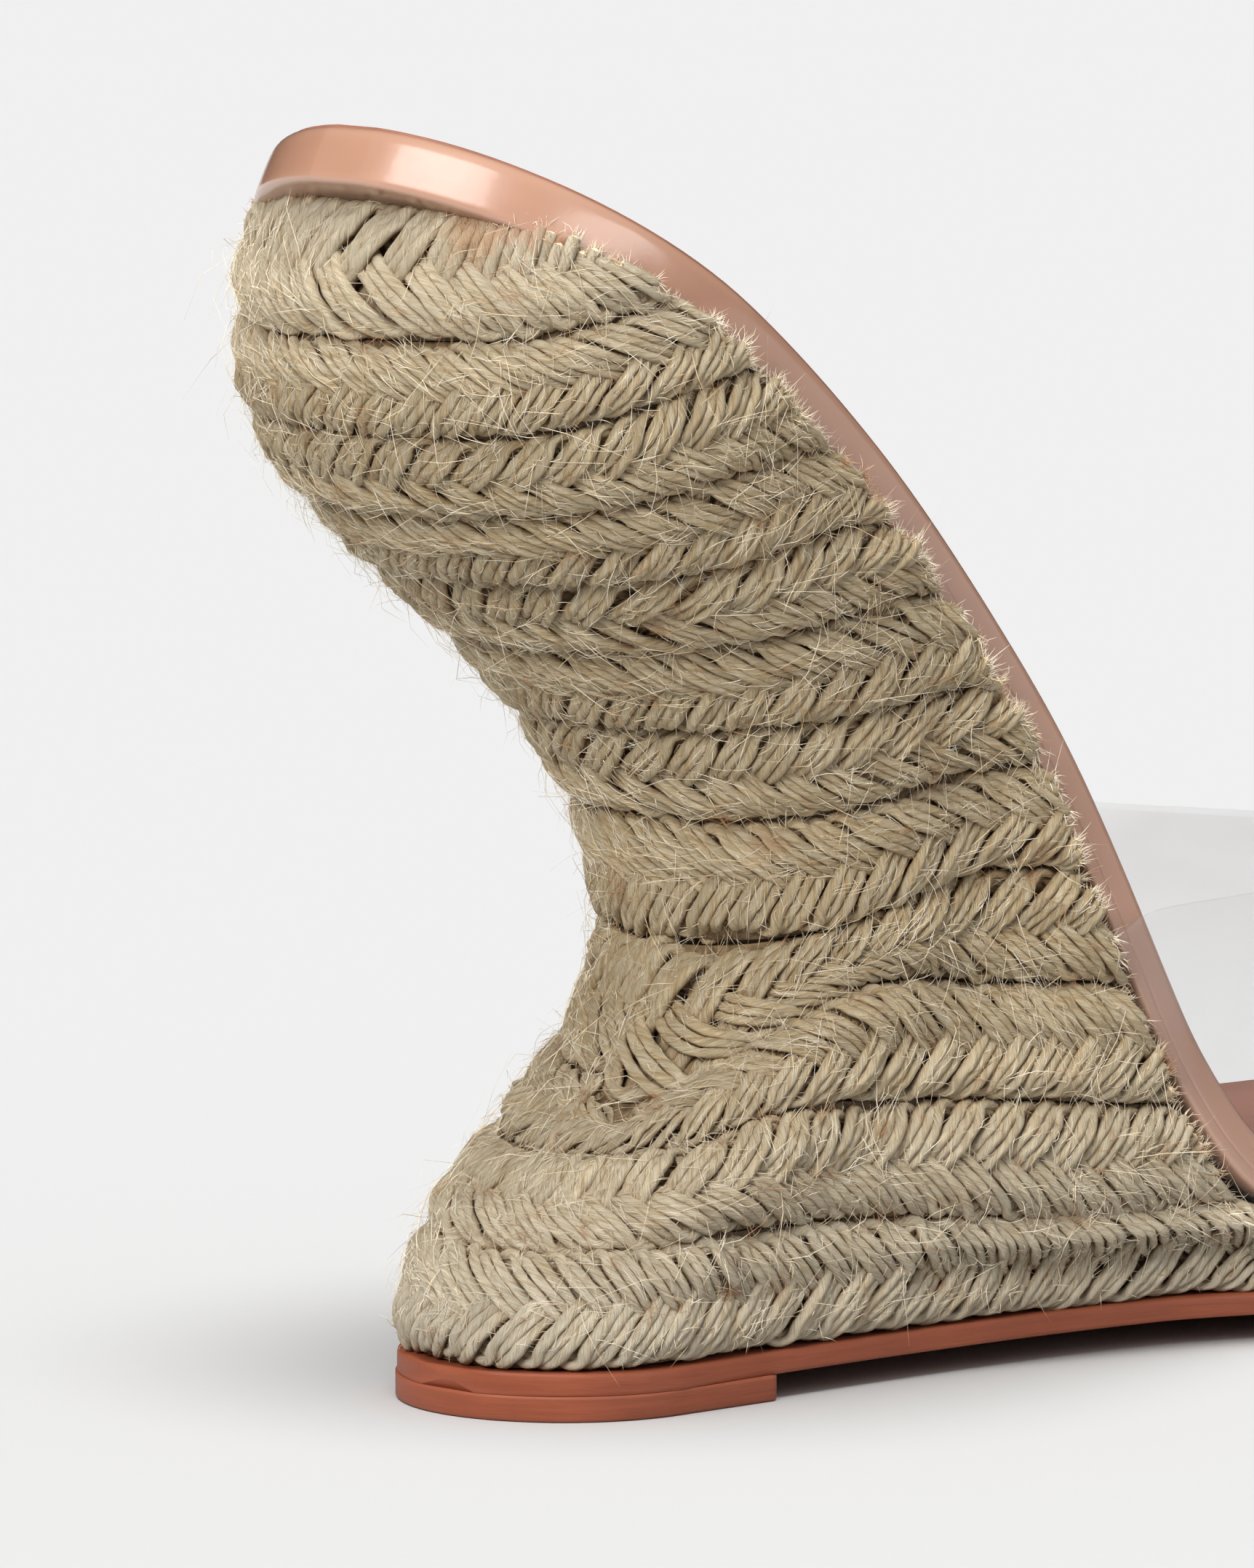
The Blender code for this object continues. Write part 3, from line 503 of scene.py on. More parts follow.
class Parts:
    """Collects points and faces of many shells for one mesh."""

    def __init__(self):
        self.points = []
        self.count = 0
        self.faces = {4: [], 3: []}
        self.uv = {4: [], 3: []}
        self.look = {4: [], 3: []}

    def add(self, points, quads, triangles, quad_uv=None, triangle_uv=None, look=0):
        """Adds a shell, with the UV of its faces' corners and the slot of its material."""
        for faces, uv in ((quads, quad_uv), (triangles, triangle_uv)):
            corners = faces.shape[1]
            self.faces[corners].append(faces + self.count)
            self.uv[corners].append(np.zeros((*faces.shape, 2)) if uv is None else uv)
            self.look[corners].append(np.full(len(faces), look))
        self.points.append(points)
        self.count += len(points)

    def mesh(self, name, looks):
        mesh = bpy.data.meshes.new(name)
        points = np.concatenate(self.points) * MM
        quads, triangles = (np.concatenate(self.faces[corners]) for corners in (4, 3))
        mesh.vertices.add(len(points))
        mesh.vertices.foreach_set("co", points.astype(np.float32).ravel())
        loops = np.concatenate([quads.ravel(), triangles.ravel()]).astype(np.int32)
        mesh.loops.add(len(loops))
        mesh.loops.foreach_set("vertex_index", loops)
        starts = np.concatenate([np.arange(len(quads)) * 4, len(quads) * 4 + np.arange(len(triangles)) * 3])
        mesh.polygons.add(len(starts))
        mesh.polygons.foreach_set("loop_start", starts.astype(np.int32))
        look = np.concatenate(self.look[4] + self.look[3]).astype(np.int32)
        mesh.polygons.foreach_set("material_index", look)
        mesh.polygons.foreach_set("use_smooth", np.ones(len(starts), bool))
        mesh.update(calc_edges=True)
        uv = mesh.uv_layers.new(name="fibre")
        flat = [corners.reshape(-1, 2) for corners in self.uv[4] + self.uv[3]]
        uv.data.foreach_set("uv", np.concatenate(flat).astype(np.float32).ravel())
        for look_material in looks:
            mesh.materials.append(look_material)
        mesh.validate()
        made = bpy.data.objects.new(name, mesh)
        bpy.context.scene.collection.objects.link(made)
        return made


def grid_quads(rows, columns, wrap=False, wrap_rows=False):
    i = np.arange(rows if wrap_rows else rows - 1)[:, None]
    j = np.arange(columns if wrap else columns - 1)[None]
    a = i * columns + j
    b = i * columns + (j + 1) % columns
    c = (i + 1) % rows * columns + (j + 1) % columns
    d = (i + 1) % rows * columns + j
    return np.stack([a, b, c, d], -1).reshape(-1, 4)


def faces_out(points, quads, triangles):
    """Whether a closed shell's faces point outwards."""
    a, b, c, d = (points[quads[:, k]] for k in range(4))
    volume = np.einsum("ij,ij->", a, np.cross(b, c)) + np.einsum("ij,ij->", a, np.cross(c, d))
    if len(triangles):
        a, b, c = (points[triangles[:, k]] for k in range(3))
        volume += np.einsum("ij,ij->", a, np.cross(b, c))
    return volume > 0


def grid_uv(along, across):
    """UV, in millimetres, of a grid whose rows and columns lie at these distances."""
    return np.stack(np.meshgrid(along, across, indexing="ij"), -1).reshape(-1, 2)


def end_fans(rings, count):
    """Triangles that close the first and the last ring onto the two points that follow the rings."""
    around = np.arange(count)
    following = (around + 1) % count
    first = rings * count
    last = first - count
    return np.concatenate([
        np.stack([np.full(count, first), following, around], -1),
        np.stack([np.full(count, first + 1), last + around, last + following], -1),
    ])


def add_closed(parts, points, quads, triangles, uv, look=0):
    """A closed shell, its faces turned outwards if they are not."""
    triangles = np.asarray(triangles, int).reshape(-1, 3)
    if not faces_out(points - points.mean(0), quads, triangles):
        quads = quads[:, ::-1]
        triangles = triangles[:, ::-1]
    parts.add(points, quads, triangles, uv[quads], uv[triangles], look)


def add_loft(parts, rings, closed=False, look=0):
    """A solid through rings of equal count, round about or filled at both ends."""
    n, m = rings.shape[:2]
    middle = rings.mean(1)
    uv = grid_uv(lengths_along(middle), lengths_along(rings[n // 2]))
    points = rings.reshape(-1, 3)
    triangles = []
    if not closed:
        points = np.concatenate([points, middle[:1], middle[-1:]])
        uv = np.concatenate([uv, uv[:1], uv[-1:]])
        triangles = end_fans(n, m)
    add_closed(parts, points, grid_quads(n, m, wrap=True, wrap_rows=closed), triangles, uv, look)


def add_shell(parts, outer, inner):
    """A solid between two grids of the same shape."""
    n, m = outer.shape[:2]
    size = n * m
    front = grid_quads(n, m)
    rim = np.concatenate([np.arange(m), np.arange(2, n) * m - 1, (n - 1) * m + np.arange(m - 1, -1, -1),
                          np.arange(n - 2, 0, -1) * m])
    following = np.roll(rim, -1)
    side = np.stack([following, rim, rim + size, following + size], -1)
    quads = np.concatenate([front, front[:, ::-1] + size, side])
    uv = np.tile(grid_uv(lengths_along(outer[:, m // 2]), lengths_along(outer[n // 2])), (2, 1))
    add_closed(parts, np.concatenate([outer.reshape(-1, 3), inner.reshape(-1, 3)]), quads, [], uv)


def add_tube(parts, centre, normal, radius, twist, shift):
    """A yarn: rings along a line, with two soft lobes that turn along it, closed at both ends."""
    n = len(centre)
    tangent = unit(np.gradient(centre, axis=0))
    side = unit(np.cross(normal, tangent))
    up = np.cross(tangent, side)
    s = lengths_along(centre)
    turn = np.linspace(0, TAU, YARN_SIDES, endpoint=False)
    swell = radius[:, None] * (1 + YARN_LOBE * np.cos(2 * (turn[None] - twist * s[:, None])))
    ring = side[:, None] * np.sin(turn)[None, :, None] - up[:, None] * np.cos(turn)[None, :, None]
    points = centre[:, None] + swell[..., None] * ring
    ends = np.stack([centre[0] - tangent[0] * radius[0] * 0.5, centre[-1] + tangent[-1] * radius[-1] * 0.5])
    uv = grid_uv(s + shift, np.arange(YARN_SIDES + 1) / YARN_SIDES)[grid_quads(n, YARN_SIDES + 1)]
    parts.add(np.concatenate([points.reshape(-1, 3), ends]), grid_quads(n, YARN_SIDES, wrap=True),
              end_fans(n, YARN_SIDES), uv)


def add_fibres(parts, root, direction, sideways, length, radius, rng, lie=None):
    """Fine three-sided hairs that start at the roots, bend and end in a point."""
    n = len(root)
    t = np.linspace(0, 1, HAIR_POINTS)[None, :, None]
    reach = length[:, None, None]
    direction = unit(direction)
    sideways = unit(sideways)
    third = np.cross(direction, sideways)
    curl = rng.normal(0, HAIR_CURL, (n, 1, 1))
    droop = rng.normal(0, HAIR_DROOP, (n, 1, 1))
    path = root[:, None] + reach * (
        direction[:, None] * t + sideways[:, None] * curl * t**2
        + third[:, None] * droop * (t**1.5 * np.sin(3 * t)))
    if lie is not None:
        bent = t**2 * reach**2 / (2 * HAIR_BEND)
        path += lie[:, None] * (reach * HAIR_RISE * np.sin(math.pi * t) - bent)
    tangent = unit(np.gradient(path, axis=1))
    one = unit(np.cross(tangent, third[:, None] + 0.01))
    two = np.cross(tangent, one)
    turn = (np.arange(3) * TAU / 3)[None, None, :, None]
    taper = radius[:, None, None] * (1 - 0.8 * t**3)
    ring = one[:, :, None] * np.cos(turn) + two[:, :, None] * np.sin(turn)
    rings = path[:, :, None] + taper[..., None] * ring
    per = HAIR_POINTS * 3
    starts = (np.arange(n) * per)[:, None, None]
    quads = (grid_quads(HAIR_POINTS, 3, wrap=True)[None] + starts).reshape(-1, 4)
    caps = (np.array([[0, 2, 1], [per - 3, per - 2, per - 1]])[None] + starts).reshape(-1, 3)
    parts.add(rings.reshape(-1, 3), quads, caps)


def wander(rng, u, step, size):
    """Smooth seeded noise along u."""
    low = u.min() - 2 * step
    knots = np.arange(low, u.max() + 3 * step, step)
    value = rng.normal(0, size, len(knots))
    at = (u - low) / step
    i = np.clip(at.astype(int), 0, len(knots) - 2)
    t = ease(at - i)
    return value[i] * (1 - t) + value[i + 1] * t


def yarn_path(row, strand, yarn, u, period, drift, widths, cross):
    """The middle line of one yarn of a strand, in the row's own directions, and its size."""
    flow = -1 if row.number % 2 else 1
    run = flow * u
    theta = TAU * run / period + drift + strand * TAU / STRANDS
    half = np.interp(u, row.u, row.half_width)
    size = np.clip(half / FULL_HALF_WIDTH, *YARN_SIZES) ** 0.5
    swing = np.arcsin(ZIGZAG * np.sin(theta)) / math.asin(ZIGZAG)
    v = np.maximum(half - EDGE_ROOM * size, LEAST_SWING) * widths * swing
    w = -PLAIT_LIFT * size * np.sin(2 * theta)
    along = unit(np.stack([np.gradient(run), np.gradient(v)], -1) * flow)
    spin = math.pi / 2 * (1 - np.tanh(FOLD * np.cos(theta)) / math.tanh(FOLD)) + cross
    slant = np.tanh(3 * flow * np.gradient(v) / np.gradient(run))
    size = size * (1 - STEEP_SPREAD * slant)
    offset = yarn * YARN_SPACING * size
    ahead = -along[:, 1] * offset * np.cos(spin)
    lateral = v + along[:, 0] * offset * np.cos(spin)
    rise = offset * np.sin(spin) * FOLD_RISE
    edge = np.clip(np.abs(lateral) / half, 0, 1.2)
    height = BRAID_DEPTH + w + rise - PILLOW * edge**2.4
    return flow * (run + ahead) + PLAIT_SHEAR * v, lateral, height, size


def open_holes(row, along, across, height):
    """Presses a yarn in and aside where the wrapping gapes."""
    half = np.interp(along, row.u, row.half_width)
    for hole_row, where, share, long, tall in HOLES:
        if hole_row == row.number:
            off_u = (along + where) / long
            off_v = (across - (2 * share - 1) * half) / tall
            near = np.exp(-(off_u**2 + off_v**2))
            height = height - HOLE_DEPTH * near
            across = across + np.sign(off_v) * near * tall * 0.5
    return across, height


def jute_row(number, looks):
    """The plaited jute of one row, with its cut ends, its hairs and the dark layer of painted shade that it
    lies on.
    """
    rng = np.random.default_rng(100 + number)
    row = Row(number)
    length = row.u[-1] - row.u[0]
    period = length / round(length / PLAIT_PERIOD) if row.closed else PLAIT_PERIOD * rng.uniform(0.95, 1.05)
    u = np.arange(row.u[0], row.u[-1], RING_STEP / 1.7)
    if row.closed:
        u = np.linspace(row.u[0], row.u[-1], len(u))
    fade = np.minimum(ease((u - row.u[0]) / 20), ease((row.u[-1] - u) / 20))
    drift = wander(rng, u, *DRIFT_WANDER) * (fade if row.closed else 1)
    widths = 1 + wander(rng, u, *WIDTH_WANDER)
    made = []
    fuzz = Parts()
    groups = [(k,) for k in range(STRANDS)] if row.closed else [range(STRANDS)]
    for index, strands in enumerate(groups):
        parts = Parts()
        hair = []
        for strand in strands:
            cross = wander(rng, u, *SPIN_WANDER)
            sway = wander(rng, u, *SWAY_WANDER)
            for yarn in YARNS:
                along, across, height, size = yarn_path(row, strand, yarn, u, period, drift, widths, cross)
                across = across + sway + wander(rng, u, *YARN_WANDER)
                height = height + wander(rng, u, *HEIGHT_WANDER)
                across, height = open_holes(row, along, across, height)
                centre, normal = row.place(along, across, height)
                for first, last in inside_runs(row, centre, rng):
                    spaced = lengths_along(centre[first:last])
                    count = max(6, int(spaced[-1] / RING_STEP))
                    at = np.linspace(0, spaced[-1], count)
                    line = between(at, spaced, centre[first:last])
                    out = unit(between(at, spaced, normal[first:last]))
                    radius = YARN_RADIUS * np.interp(at, spaced, size[first:last])
                    radius *= 1 + wander(rng, at, *THICKNESS_WANDER)
                    add_tube(parts, line, out, radius, twist=rng.uniform(0.9, 1.4), shift=rng.uniform(0, 400))
                    hair.append((line, out, radius))
                    if not row.closed:
                        if first > 0:
                            add_tuft(fuzz, line, out, radius, 0, -1, rng)
                        if last < len(centre):
                            add_tuft(fuzz, line, out, radius, -1, 1, rng)
        add_hair(fuzz, hair, rng)
        # A dark layer of painted shade under the strands, seen through the gaps between them.
        if index == 0:
            add_backing(parts, row)
        name = f"jute_row_{number:02d}" + (f"_strand_{index + 1}" if row.closed else "")
        made.append(parts.mesh(name, looks[:2]))
    made.append(fuzz.mesh(f"jute_fuzz_{number:02d}", looks[2:]))
    return made


def inside_runs(row, centre, rng):
    """The parts of a yarn that lie below the rand, where the rows are cut off."""
    if row.closed:
        return [(0, len(centre))]
    cut = wrap_top(centre[:, 0]) + RIM_OVERLAP + rng.normal(0, 0.35)
    inside = np.concatenate([[False], centre[:, 2] < cut, [False]]).astype(int)
    starts = np.flatnonzero(np.diff(inside) == 1)
    stops = np.flatnonzero(np.diff(inside) == -1)
    return [(a, b) for a, b in zip(starts, stops) if b - a > SHORTEST_RUN]


def add_tuft(parts, centre, normal, radius, end, sign, rng):
    """Loose fibres that fan out of a cut yarn."""
    n = TUFT_HAIRS
    tangent = unit(centre[-1] - centre[-3] if sign > 0 else centre[2] - centre[0])
    spread = rng.normal(0, TUFT_SPREAD, (n, 3))
    direction = tangent * sign + spread + normal[end] * rng.uniform(0, 0.2, (n, 1))
    root = centre[end] + unit(spread) * radius[end] * rng.uniform(0.2, 0.9, (n, 1)) - tangent * sign * 0.3
    add_fibres(parts, root, direction, rng.normal(0, 1, (n, 3)), rng.uniform(0.5, 1.7, n),
               rng.uniform(0.025, 0.055, n), rng)


def add_hair(parts, yarns, rng):
    """Hairs that stand off the yarns: many short ones, some long ones that lie across the row."""
    centre = np.concatenate([y[0] for y in yarns])
    normal = np.concatenate([y[1] for y in yarns])
    radius = np.concatenate([y[2] for y in yarns])
    tangent = np.concatenate([unit(np.gradient(y[0], axis=0)) for y in yarns])
    total = int(len(centre) * RING_STEP * HAIRS_PER_MM)
    pick = rng.integers(0, len(centre), total)
    turn = rng.uniform(-0.9, 0.9, total)
    side = unit(np.cross(normal[pick], tangent[pick]))
    outward = unit(normal[pick] * np.cos(turn)[:, None] + side * np.sin(turn)[:, None])
    root = centre[pick] + outward * (radius[pick] * 0.93)[:, None]
    way = np.sign(rng.normal(0, 1, total))[:, None]
    long = rng.random(total) < LONG_SHARE
    lift = np.where(long, rng.uniform(0.0, 0.09, total), rng.uniform(0.04, 0.36, total))[:, None]
    aside = np.where(long, rng.normal(0, 1.0, total), rng.normal(0, 0.5, total))[:, None]
    direction = tangent[pick] * way + outward * lift + side * aside
    length = np.where(long, rng.uniform(2.6, 8.5, total), rng.uniform(0.6, 1.9, total))
    thick = rng.uniform(0.018, 0.036, total)
    tip = root + unit(direction) * length[:, None]
    above = tip[:, 2] - 0.4 * length > sole_bottom(tip[:, 0]) + SOLE_THICKNESS
    keep = above & (tip[:, 2] < wrap_top(tip[:, 0]) + 0.9)
    add_fibres(parts, root[keep], direction[keep], (side + 0.3 * outward)[keep], length[keep], thick[keep],
               rng, lie=normal[pick][keep])


def add_backing(parts, row):
    """A layer under the strands, which closes the view between them; its dark colour is painted shade."""
    u = np.arange(row.u[0] + 0.5, row.u[-1] - 0.5, 1.6)
    half = np.interp(u, row.u, row.half_width)
    share = np.linspace(-0.98, 0.98, 7)
    ring = []
    for depth, shares in zip(SHADE_LAYER_DEPTHS, (share, share[::-1])):
        for place in shares:
            point, _ = row.place(u, place * half, np.full_like(u, BRAID_DEPTH + depth))
            if not row.closed:
                point[:, 2] = np.minimum(point[:, 2], wrap_top(point[:, 0]) - 0.2)
            ring.append(point)
    add_loft(parts, np.stack(ring, 1), closed=row.closed, look=1)


# ---------------------------------------------------------------- leather, patent and vinyl pieces

def footbed_rand(look):
    """Patent strip turned over the footbed's edge: a tall, gently rounded wall between lip and flange."""
    wall = tuple((RAND_FULLNESS * ((depth - 2.4) / 1.4) ** 2, depth) for depth in RAND_WALL)
    stations = spread_stations(RIM_STATIONS)
    deeper = 1 + RAND_HEEL_DEEPER * (1 - ease(stations / RAND_HEEL_REACH))
    deeper = np.concatenate([deeper, deeper[::-1]])
    creased = ease((stations - CREASE_START) / CREASE_RUN_OUT)
    creased = creased * (1 - ease((stations - CREASE_END) / CREASE_RUN_OUT))
    creased = CREASE_DEPTH * np.concatenate([creased, creased[::-1]])
    columns = []
    for inset, depth in RAND_TURN + wall + RAND_FOOT + RAND_INSIDE:
        sides = footbed_sides(inset, stations)
        loop = np.concatenate([sides[0], sides[1][::-1]])
        if inset < 0.2:
            near = math.exp(-(((depth - CREASE_AT) / CREASE_WIDTH) ** 2))
            loop[:, 1] -= np.sign(loop[:, 1]) * creased * near
        columns.append(on_footbed(loop[:, 0], loop[:, 1], depth * deeper))
    parts = Parts()
    add_loft(parts, np.stack(columns, 1), closed=True)
    return parts.mesh("patent_rand", [look])


def sock(look):
    """Leather sock, its edge rounded over."""
    share = (1 - np.cos(np.linspace(0, math.pi, SOCK_COLUMNS))) / 2
    stations = spread_stations(RIM_STATIONS)
    inner, outer = footbed_sides(SOCK_INSET + 0.25, stations)
    grid = inner[:, None] * (1 - share)[None, :, None] + outer[:, None] * share[None, :, None]
    width = np.linalg.norm(outer - inner, axis=1)[:, None]
    edge = np.minimum(share, 1 - share)[None] * width
    near = np.clip(1 - edge / SOCK_EDGE, 0, 1)
    top = SOCK_EDGE * (1 - np.sqrt(1 - near**2)) - 0.12
    upper = on_footbed(grid[..., 0], grid[..., 1], top)
    lower = on_footbed(grid[..., 0], grid[..., 1], SOCK_THICKNESS - 0.1)
    parts = Parts()
    add_shell(parts, upper, lower)
    return parts.mesh("leather_sock", [look])


def outsole(look):
    """Leather sole with softened edges."""
    start = float(back_line(SOLE_LIFT + SOLE_THICKNESS)) + SOLE_BACK_INSET
    turn = np.linspace(0.02, math.pi - 0.02, SOLE_SAMPLES)
    x = start + (TIP_X - SOLE_TIP_INSET - start) * (1 - np.cos(turn)) / 2
    top = sole_bottom(x) + SOLE_THICKNESS
    half = [wall_half(x, top, side) - SOLE_BACK_INSET for side in (0, 1)]
    across = np.linspace(-1, 1, 9)[1:-1]
    soft = np.minimum(0.34, np.minimum(*half) * 0.4)

    def edge(sign, steps):
        """Lines round one softened edge."""
        rim = half[int(sign > 0)]
        return [np.stack([x, sign * (rim - inward * soft), top - SOLE_THICKNESS * (1 - high)], -1)
                for inward, high in steps]

    def face(sides, z):
        """Lines across a flat face."""
        return [np.stack([x, side * (half[int(side > 0)] - soft), z], -1) for side in sides]

    ring = edge(1, SOLE_EDGE) + face(across[::-1], top - SOLE_THICKNESS)
    ring += edge(-1, SOLE_EDGE[::-1]) + face(across, top)
    parts = Parts()
    add_loft(parts, np.stack(ring, 1))
    return parts.mesh("leather_sole", [look])


def heel_top_piece(look):
    """D-shaped top piece: an arc behind, a slightly hollow breast in front, corners rounded off."""
    turn = np.linspace(math.pi / 2, 1.5 * math.pi, 121)
    arc = np.stack([HEEL_CENTRE_X + HEEL_RADIUS * np.cos(turn), HEEL_RADIUS * np.sin(turn)], -1)
    share = np.linspace(-1, 1, 33)
    breast = np.stack([HEEL_BREAST_X - HEEL_BREAST_HOLLOW * (1 - share**2), HEEL_BREAST_HALF * share], -1)
    outline = np.concatenate([arc, breast])
    step = lengths_along(np.concatenate([outline, outline[:1]]))
    at = np.linspace(0, step[-1], 281)[:-1]
    closed = np.concatenate([outline, outline[:1]])
    outline = between(at, step, closed)
    for _ in range(6):
        outline = (np.roll(outline, 1, 0) + outline * 2 + np.roll(outline, -1, 0)) / 4
    ahead = unit(np.roll(outline, -1, 0) - np.roll(outline, 1, 0))
    inward = np.stack([-ahead[:, 1], ahead[:, 0]], -1)
    if np.einsum("ij,ij->", inward, outline - outline.mean(0)) > 0:
        inward = -inward
    rings = []
    for inset, z in TOP_PIECE_STEPS:
        rings.append(np.concatenate([outline + inward * inset, np.full((len(outline), 1), z)], 1))
    parts = Parts()
    add_loft(parts, np.array(rings))
    return parts.mesh("leather_top_piece", [look])


crown_height = smooth_table(CROWN_HEIGHT)
vamp_pitch = smooth_table(VAMP_PITCH)

def vamp_arch(station, turn):
    """The vamp over the foot: turn 0 is the inner edge of the footbed and pi the outer edge."""
    rounding = end_rounding(station)
    inner = -(inner_half(station) * rounding + VAMP_STAND_OFF)
    outer = outer_half(station) * rounding + VAMP_STAND_OFF
    centre = (inner + outer) / 2
    half = (outer - inner) / 2
    y = centre - half * np.sign(np.cos(turn)) * np.abs(np.cos(turn)) ** VAMP_FULLNESS
    height = crown_height(station) * np.sin(turn) ** VAMP_FULLNESS * (1 + VAMP_SKEW * np.cos(turn))
    points = on_footbed(station, y, 0.0)
    lean = np.radians(vamp_pitch(station))
    points[..., 0] += height * np.sin(lean)
    points[..., 2] += height * np.cos(lean)
    return points


def topline_station(turn):
    inner, crest, outer = TOPLINE_Z
    side = inner if turn < math.pi / 2 else outer
    target = side + (crest - side) * math.sin(turn) ** 2
    station = np.linspace(95, 200, 4201)
    below = vamp_arch(station, turn)[:, 2] <= target
    return float(station[np.argmax(below)])


def spaced_stations(first, last):
    """Stations between two, crowded at both ends so that the band's rims can be rounded."""
    return first + (last - first) * (1 - np.cos(np.linspace(0, math.pi, VAMP_STATIONS))) / 2


def vamp_strap(look):
    """Clear band over the forefoot, turned round the footbed's edge and tucked beneath it."""
    columns = []
    for turn in np.linspace(0, math.pi, VAMP_TURNS):
        front = VAMP_FRONT_SIDE + (VAMP_FRONT_CREST - VAMP_FRONT_SIDE) * math.sin(turn)
        columns.append(vamp_arch(spaced_stations(topline_station(turn), front), turn))
    wrap = [(0.0, VAMP_RIM_DEPTH * t) for t in (0.34, 0.67, 1.0)]
    wrap += [(0.0, 3.4), (0.03, 4.0), (0.2, 4.6), (0.6, 5.1), (1.4, 5.4)]
    wrap += [(inset, 5.42) for inset in np.linspace(2.4, VAMP_MARGIN, 6)]
    for sign, half, turn in ((-1, inner_half, 0.0), (1, outer_half, math.pi)):
        station = spaced_stations(topline_station(turn), VAMP_FRONT_SIDE)
        edge = half(station) * end_rounding(station) + VAMP_STAND_OFF
        wrapped = [on_footbed(station, sign * (edge - inset), depth) for inset, depth in wrap]
        columns = wrapped[::-1] + columns if sign < 0 else columns + wrapped
    grid = np.stack(columns, 1)
    for _ in range(4):
        grid[:, 1:-1] = (grid[:, :-2] + 2 * grid[:, 1:-1] + grid[:, 2:]) / 4
    normal = unit(np.cross(np.gradient(grid, axis=0), np.gradient(grid, axis=1)))
    if normal[VAMP_STATIONS // 2, grid.shape[1] // 2, 2] < 0:
        normal = -normal
    swell = np.minimum(np.arange(VAMP_STATIONS), np.arange(VAMP_STATIONS)[::-1])
    thick = PVC_THICKNESS * (0.45 + 0.55 * ease(swell / 3))[:, None, None]
    parts = Parts()
    over = grid - normal * 0.5 * (PVC_THICKNESS - thick)
    add_shell(parts, over, grid - normal * 0.5 * (PVC_THICKNESS + thick))
    return parts.mesh("clear_vamp", [look])


# ---------------------------------------------------------------- materials

class Look:
    """A node material with short ways to add nodes to it."""

    def __init__(self, name):
        self.made = bpy.data.materials.new(name)
        self.made.use_nodes = True
        self.tree = self.made.node_tree
        self.shader = self.tree.nodes["Principled BSDF"]

    def node(self, kind, **inputs):
        made = self.tree.nodes.new("ShaderNode" + kind)
        for name, value in inputs.items():
            self.set(made, name.replace("_", " "), value)
        return made

    def set(self, node, name, value):
        socket = node.inputs[int(name)] if str(name).strip().isdigit() else node.inputs[name]
        if isinstance(value, bpy.types.NodeSocket):
            self.tree.links.new(value, socket)
        elif isinstance(value, tuple) and socket.type == "RGBA" and len(value) == 3:
            socket.default_value = (*value, 1)
        else:
            socket.default_value = value

    def shade(self, **inputs):
        for name, value in inputs.items():
            self.set(self.shader, name.replace("_", " "), value)

    def math(self, operation, a, b=0.0, clamp=False):
        made = self.node("Math")
        made.operation = operation
        made.use_clamp = clamp
        self.set(made, "0", a)
        self.set(made, "1", b)
        return made.outputs[0]

    def times(self, a, b, clamp=False):
        return self.math("MULTIPLY", a, b, clamp)

    def plus(self, a, b):
        return self.math("ADD", a, b)

    def noise(self, vector, scale, detail=4.0, roughness=0.55, distortion=0.0):
        made = self.node("TexNoise", Vector=vector, Scale=scale, Detail=detail, Roughness=roughness,
                         Distortion=distortion)
        return made.outputs["Fac"]

    def place(self, kind="Object"):
        return self.node("TexCoord").outputs[kind]

    def stretch(self, vector, scale):
        return self.node("Mapping", Vector=vector, Scale=scale).outputs[0]

    def ramp(self, value, *stops):
        made = self.node("ValToRGB", Fac=value)
        elements = made.color_ramp.elements
        while len(elements) < len(stops):
            elements.new(0.5)
        for element, (at, colour) in zip(elements, stops):
            element.position = at
            element.color = (*colour, 1) if isinstance(colour, tuple) else (colour, colour, colour, 1)
        return made.outputs["Color"]

    def mix(self, share, a, b, blend="MIX"):
        made = self.tree.nodes.new("ShaderNodeMix")
        made.data_type = "RGBA"
        made.blend_type = blend
        for index, value in ((0, share), (6, a), (7, b)):
            self.set(made, str(index), value)
        return made.outputs[2]

    def bump(self, height, distance, strength=1.0):
        made = self.node("Bump", Height=height, Distance=distance, Strength=strength)
        return made.outputs[0]

    def split(self, vector):
        return self.node("SeparateXYZ", Vector=vector).outputs

    def join(self, x, y, z):
        made = self.tree.nodes.new("ShaderNodeCombineXYZ")
        for index, value in enumerate((x, y, z)):
            self.set(made, str(index), value)
        return made.outputs[0]


def add_stain(look, coloured, where, number, from_back, share, reach, tint):
    """Tints the jute round one place on the wall, with a ragged edge."""
    row = Row(number)
    half = float(np.interp(-from_back, row.u, row.half_width))
    point, _ = row.place(np.array([-float(from_back)]), np.array([(2 * share - 1) * half]), np.zeros(1))
    apart = look.node("VectorMath")
    apart.operation = "DISTANCE"
    look.set(apart, "0", where)
    look.set(apart, "1", tuple(float(c) * MM for c in point[0]))
    ragged = look.times(look.noise(where, 700.0, 2.0), 2.0)
    away = look.math("DIVIDE", look.times(apart.outputs["Value"], ragged), reach * MM)
    near = look.math("SUBTRACT", 1.5, away, clamp=True)
    return look.mix(look.times(near, 0.6), coloured, tint)


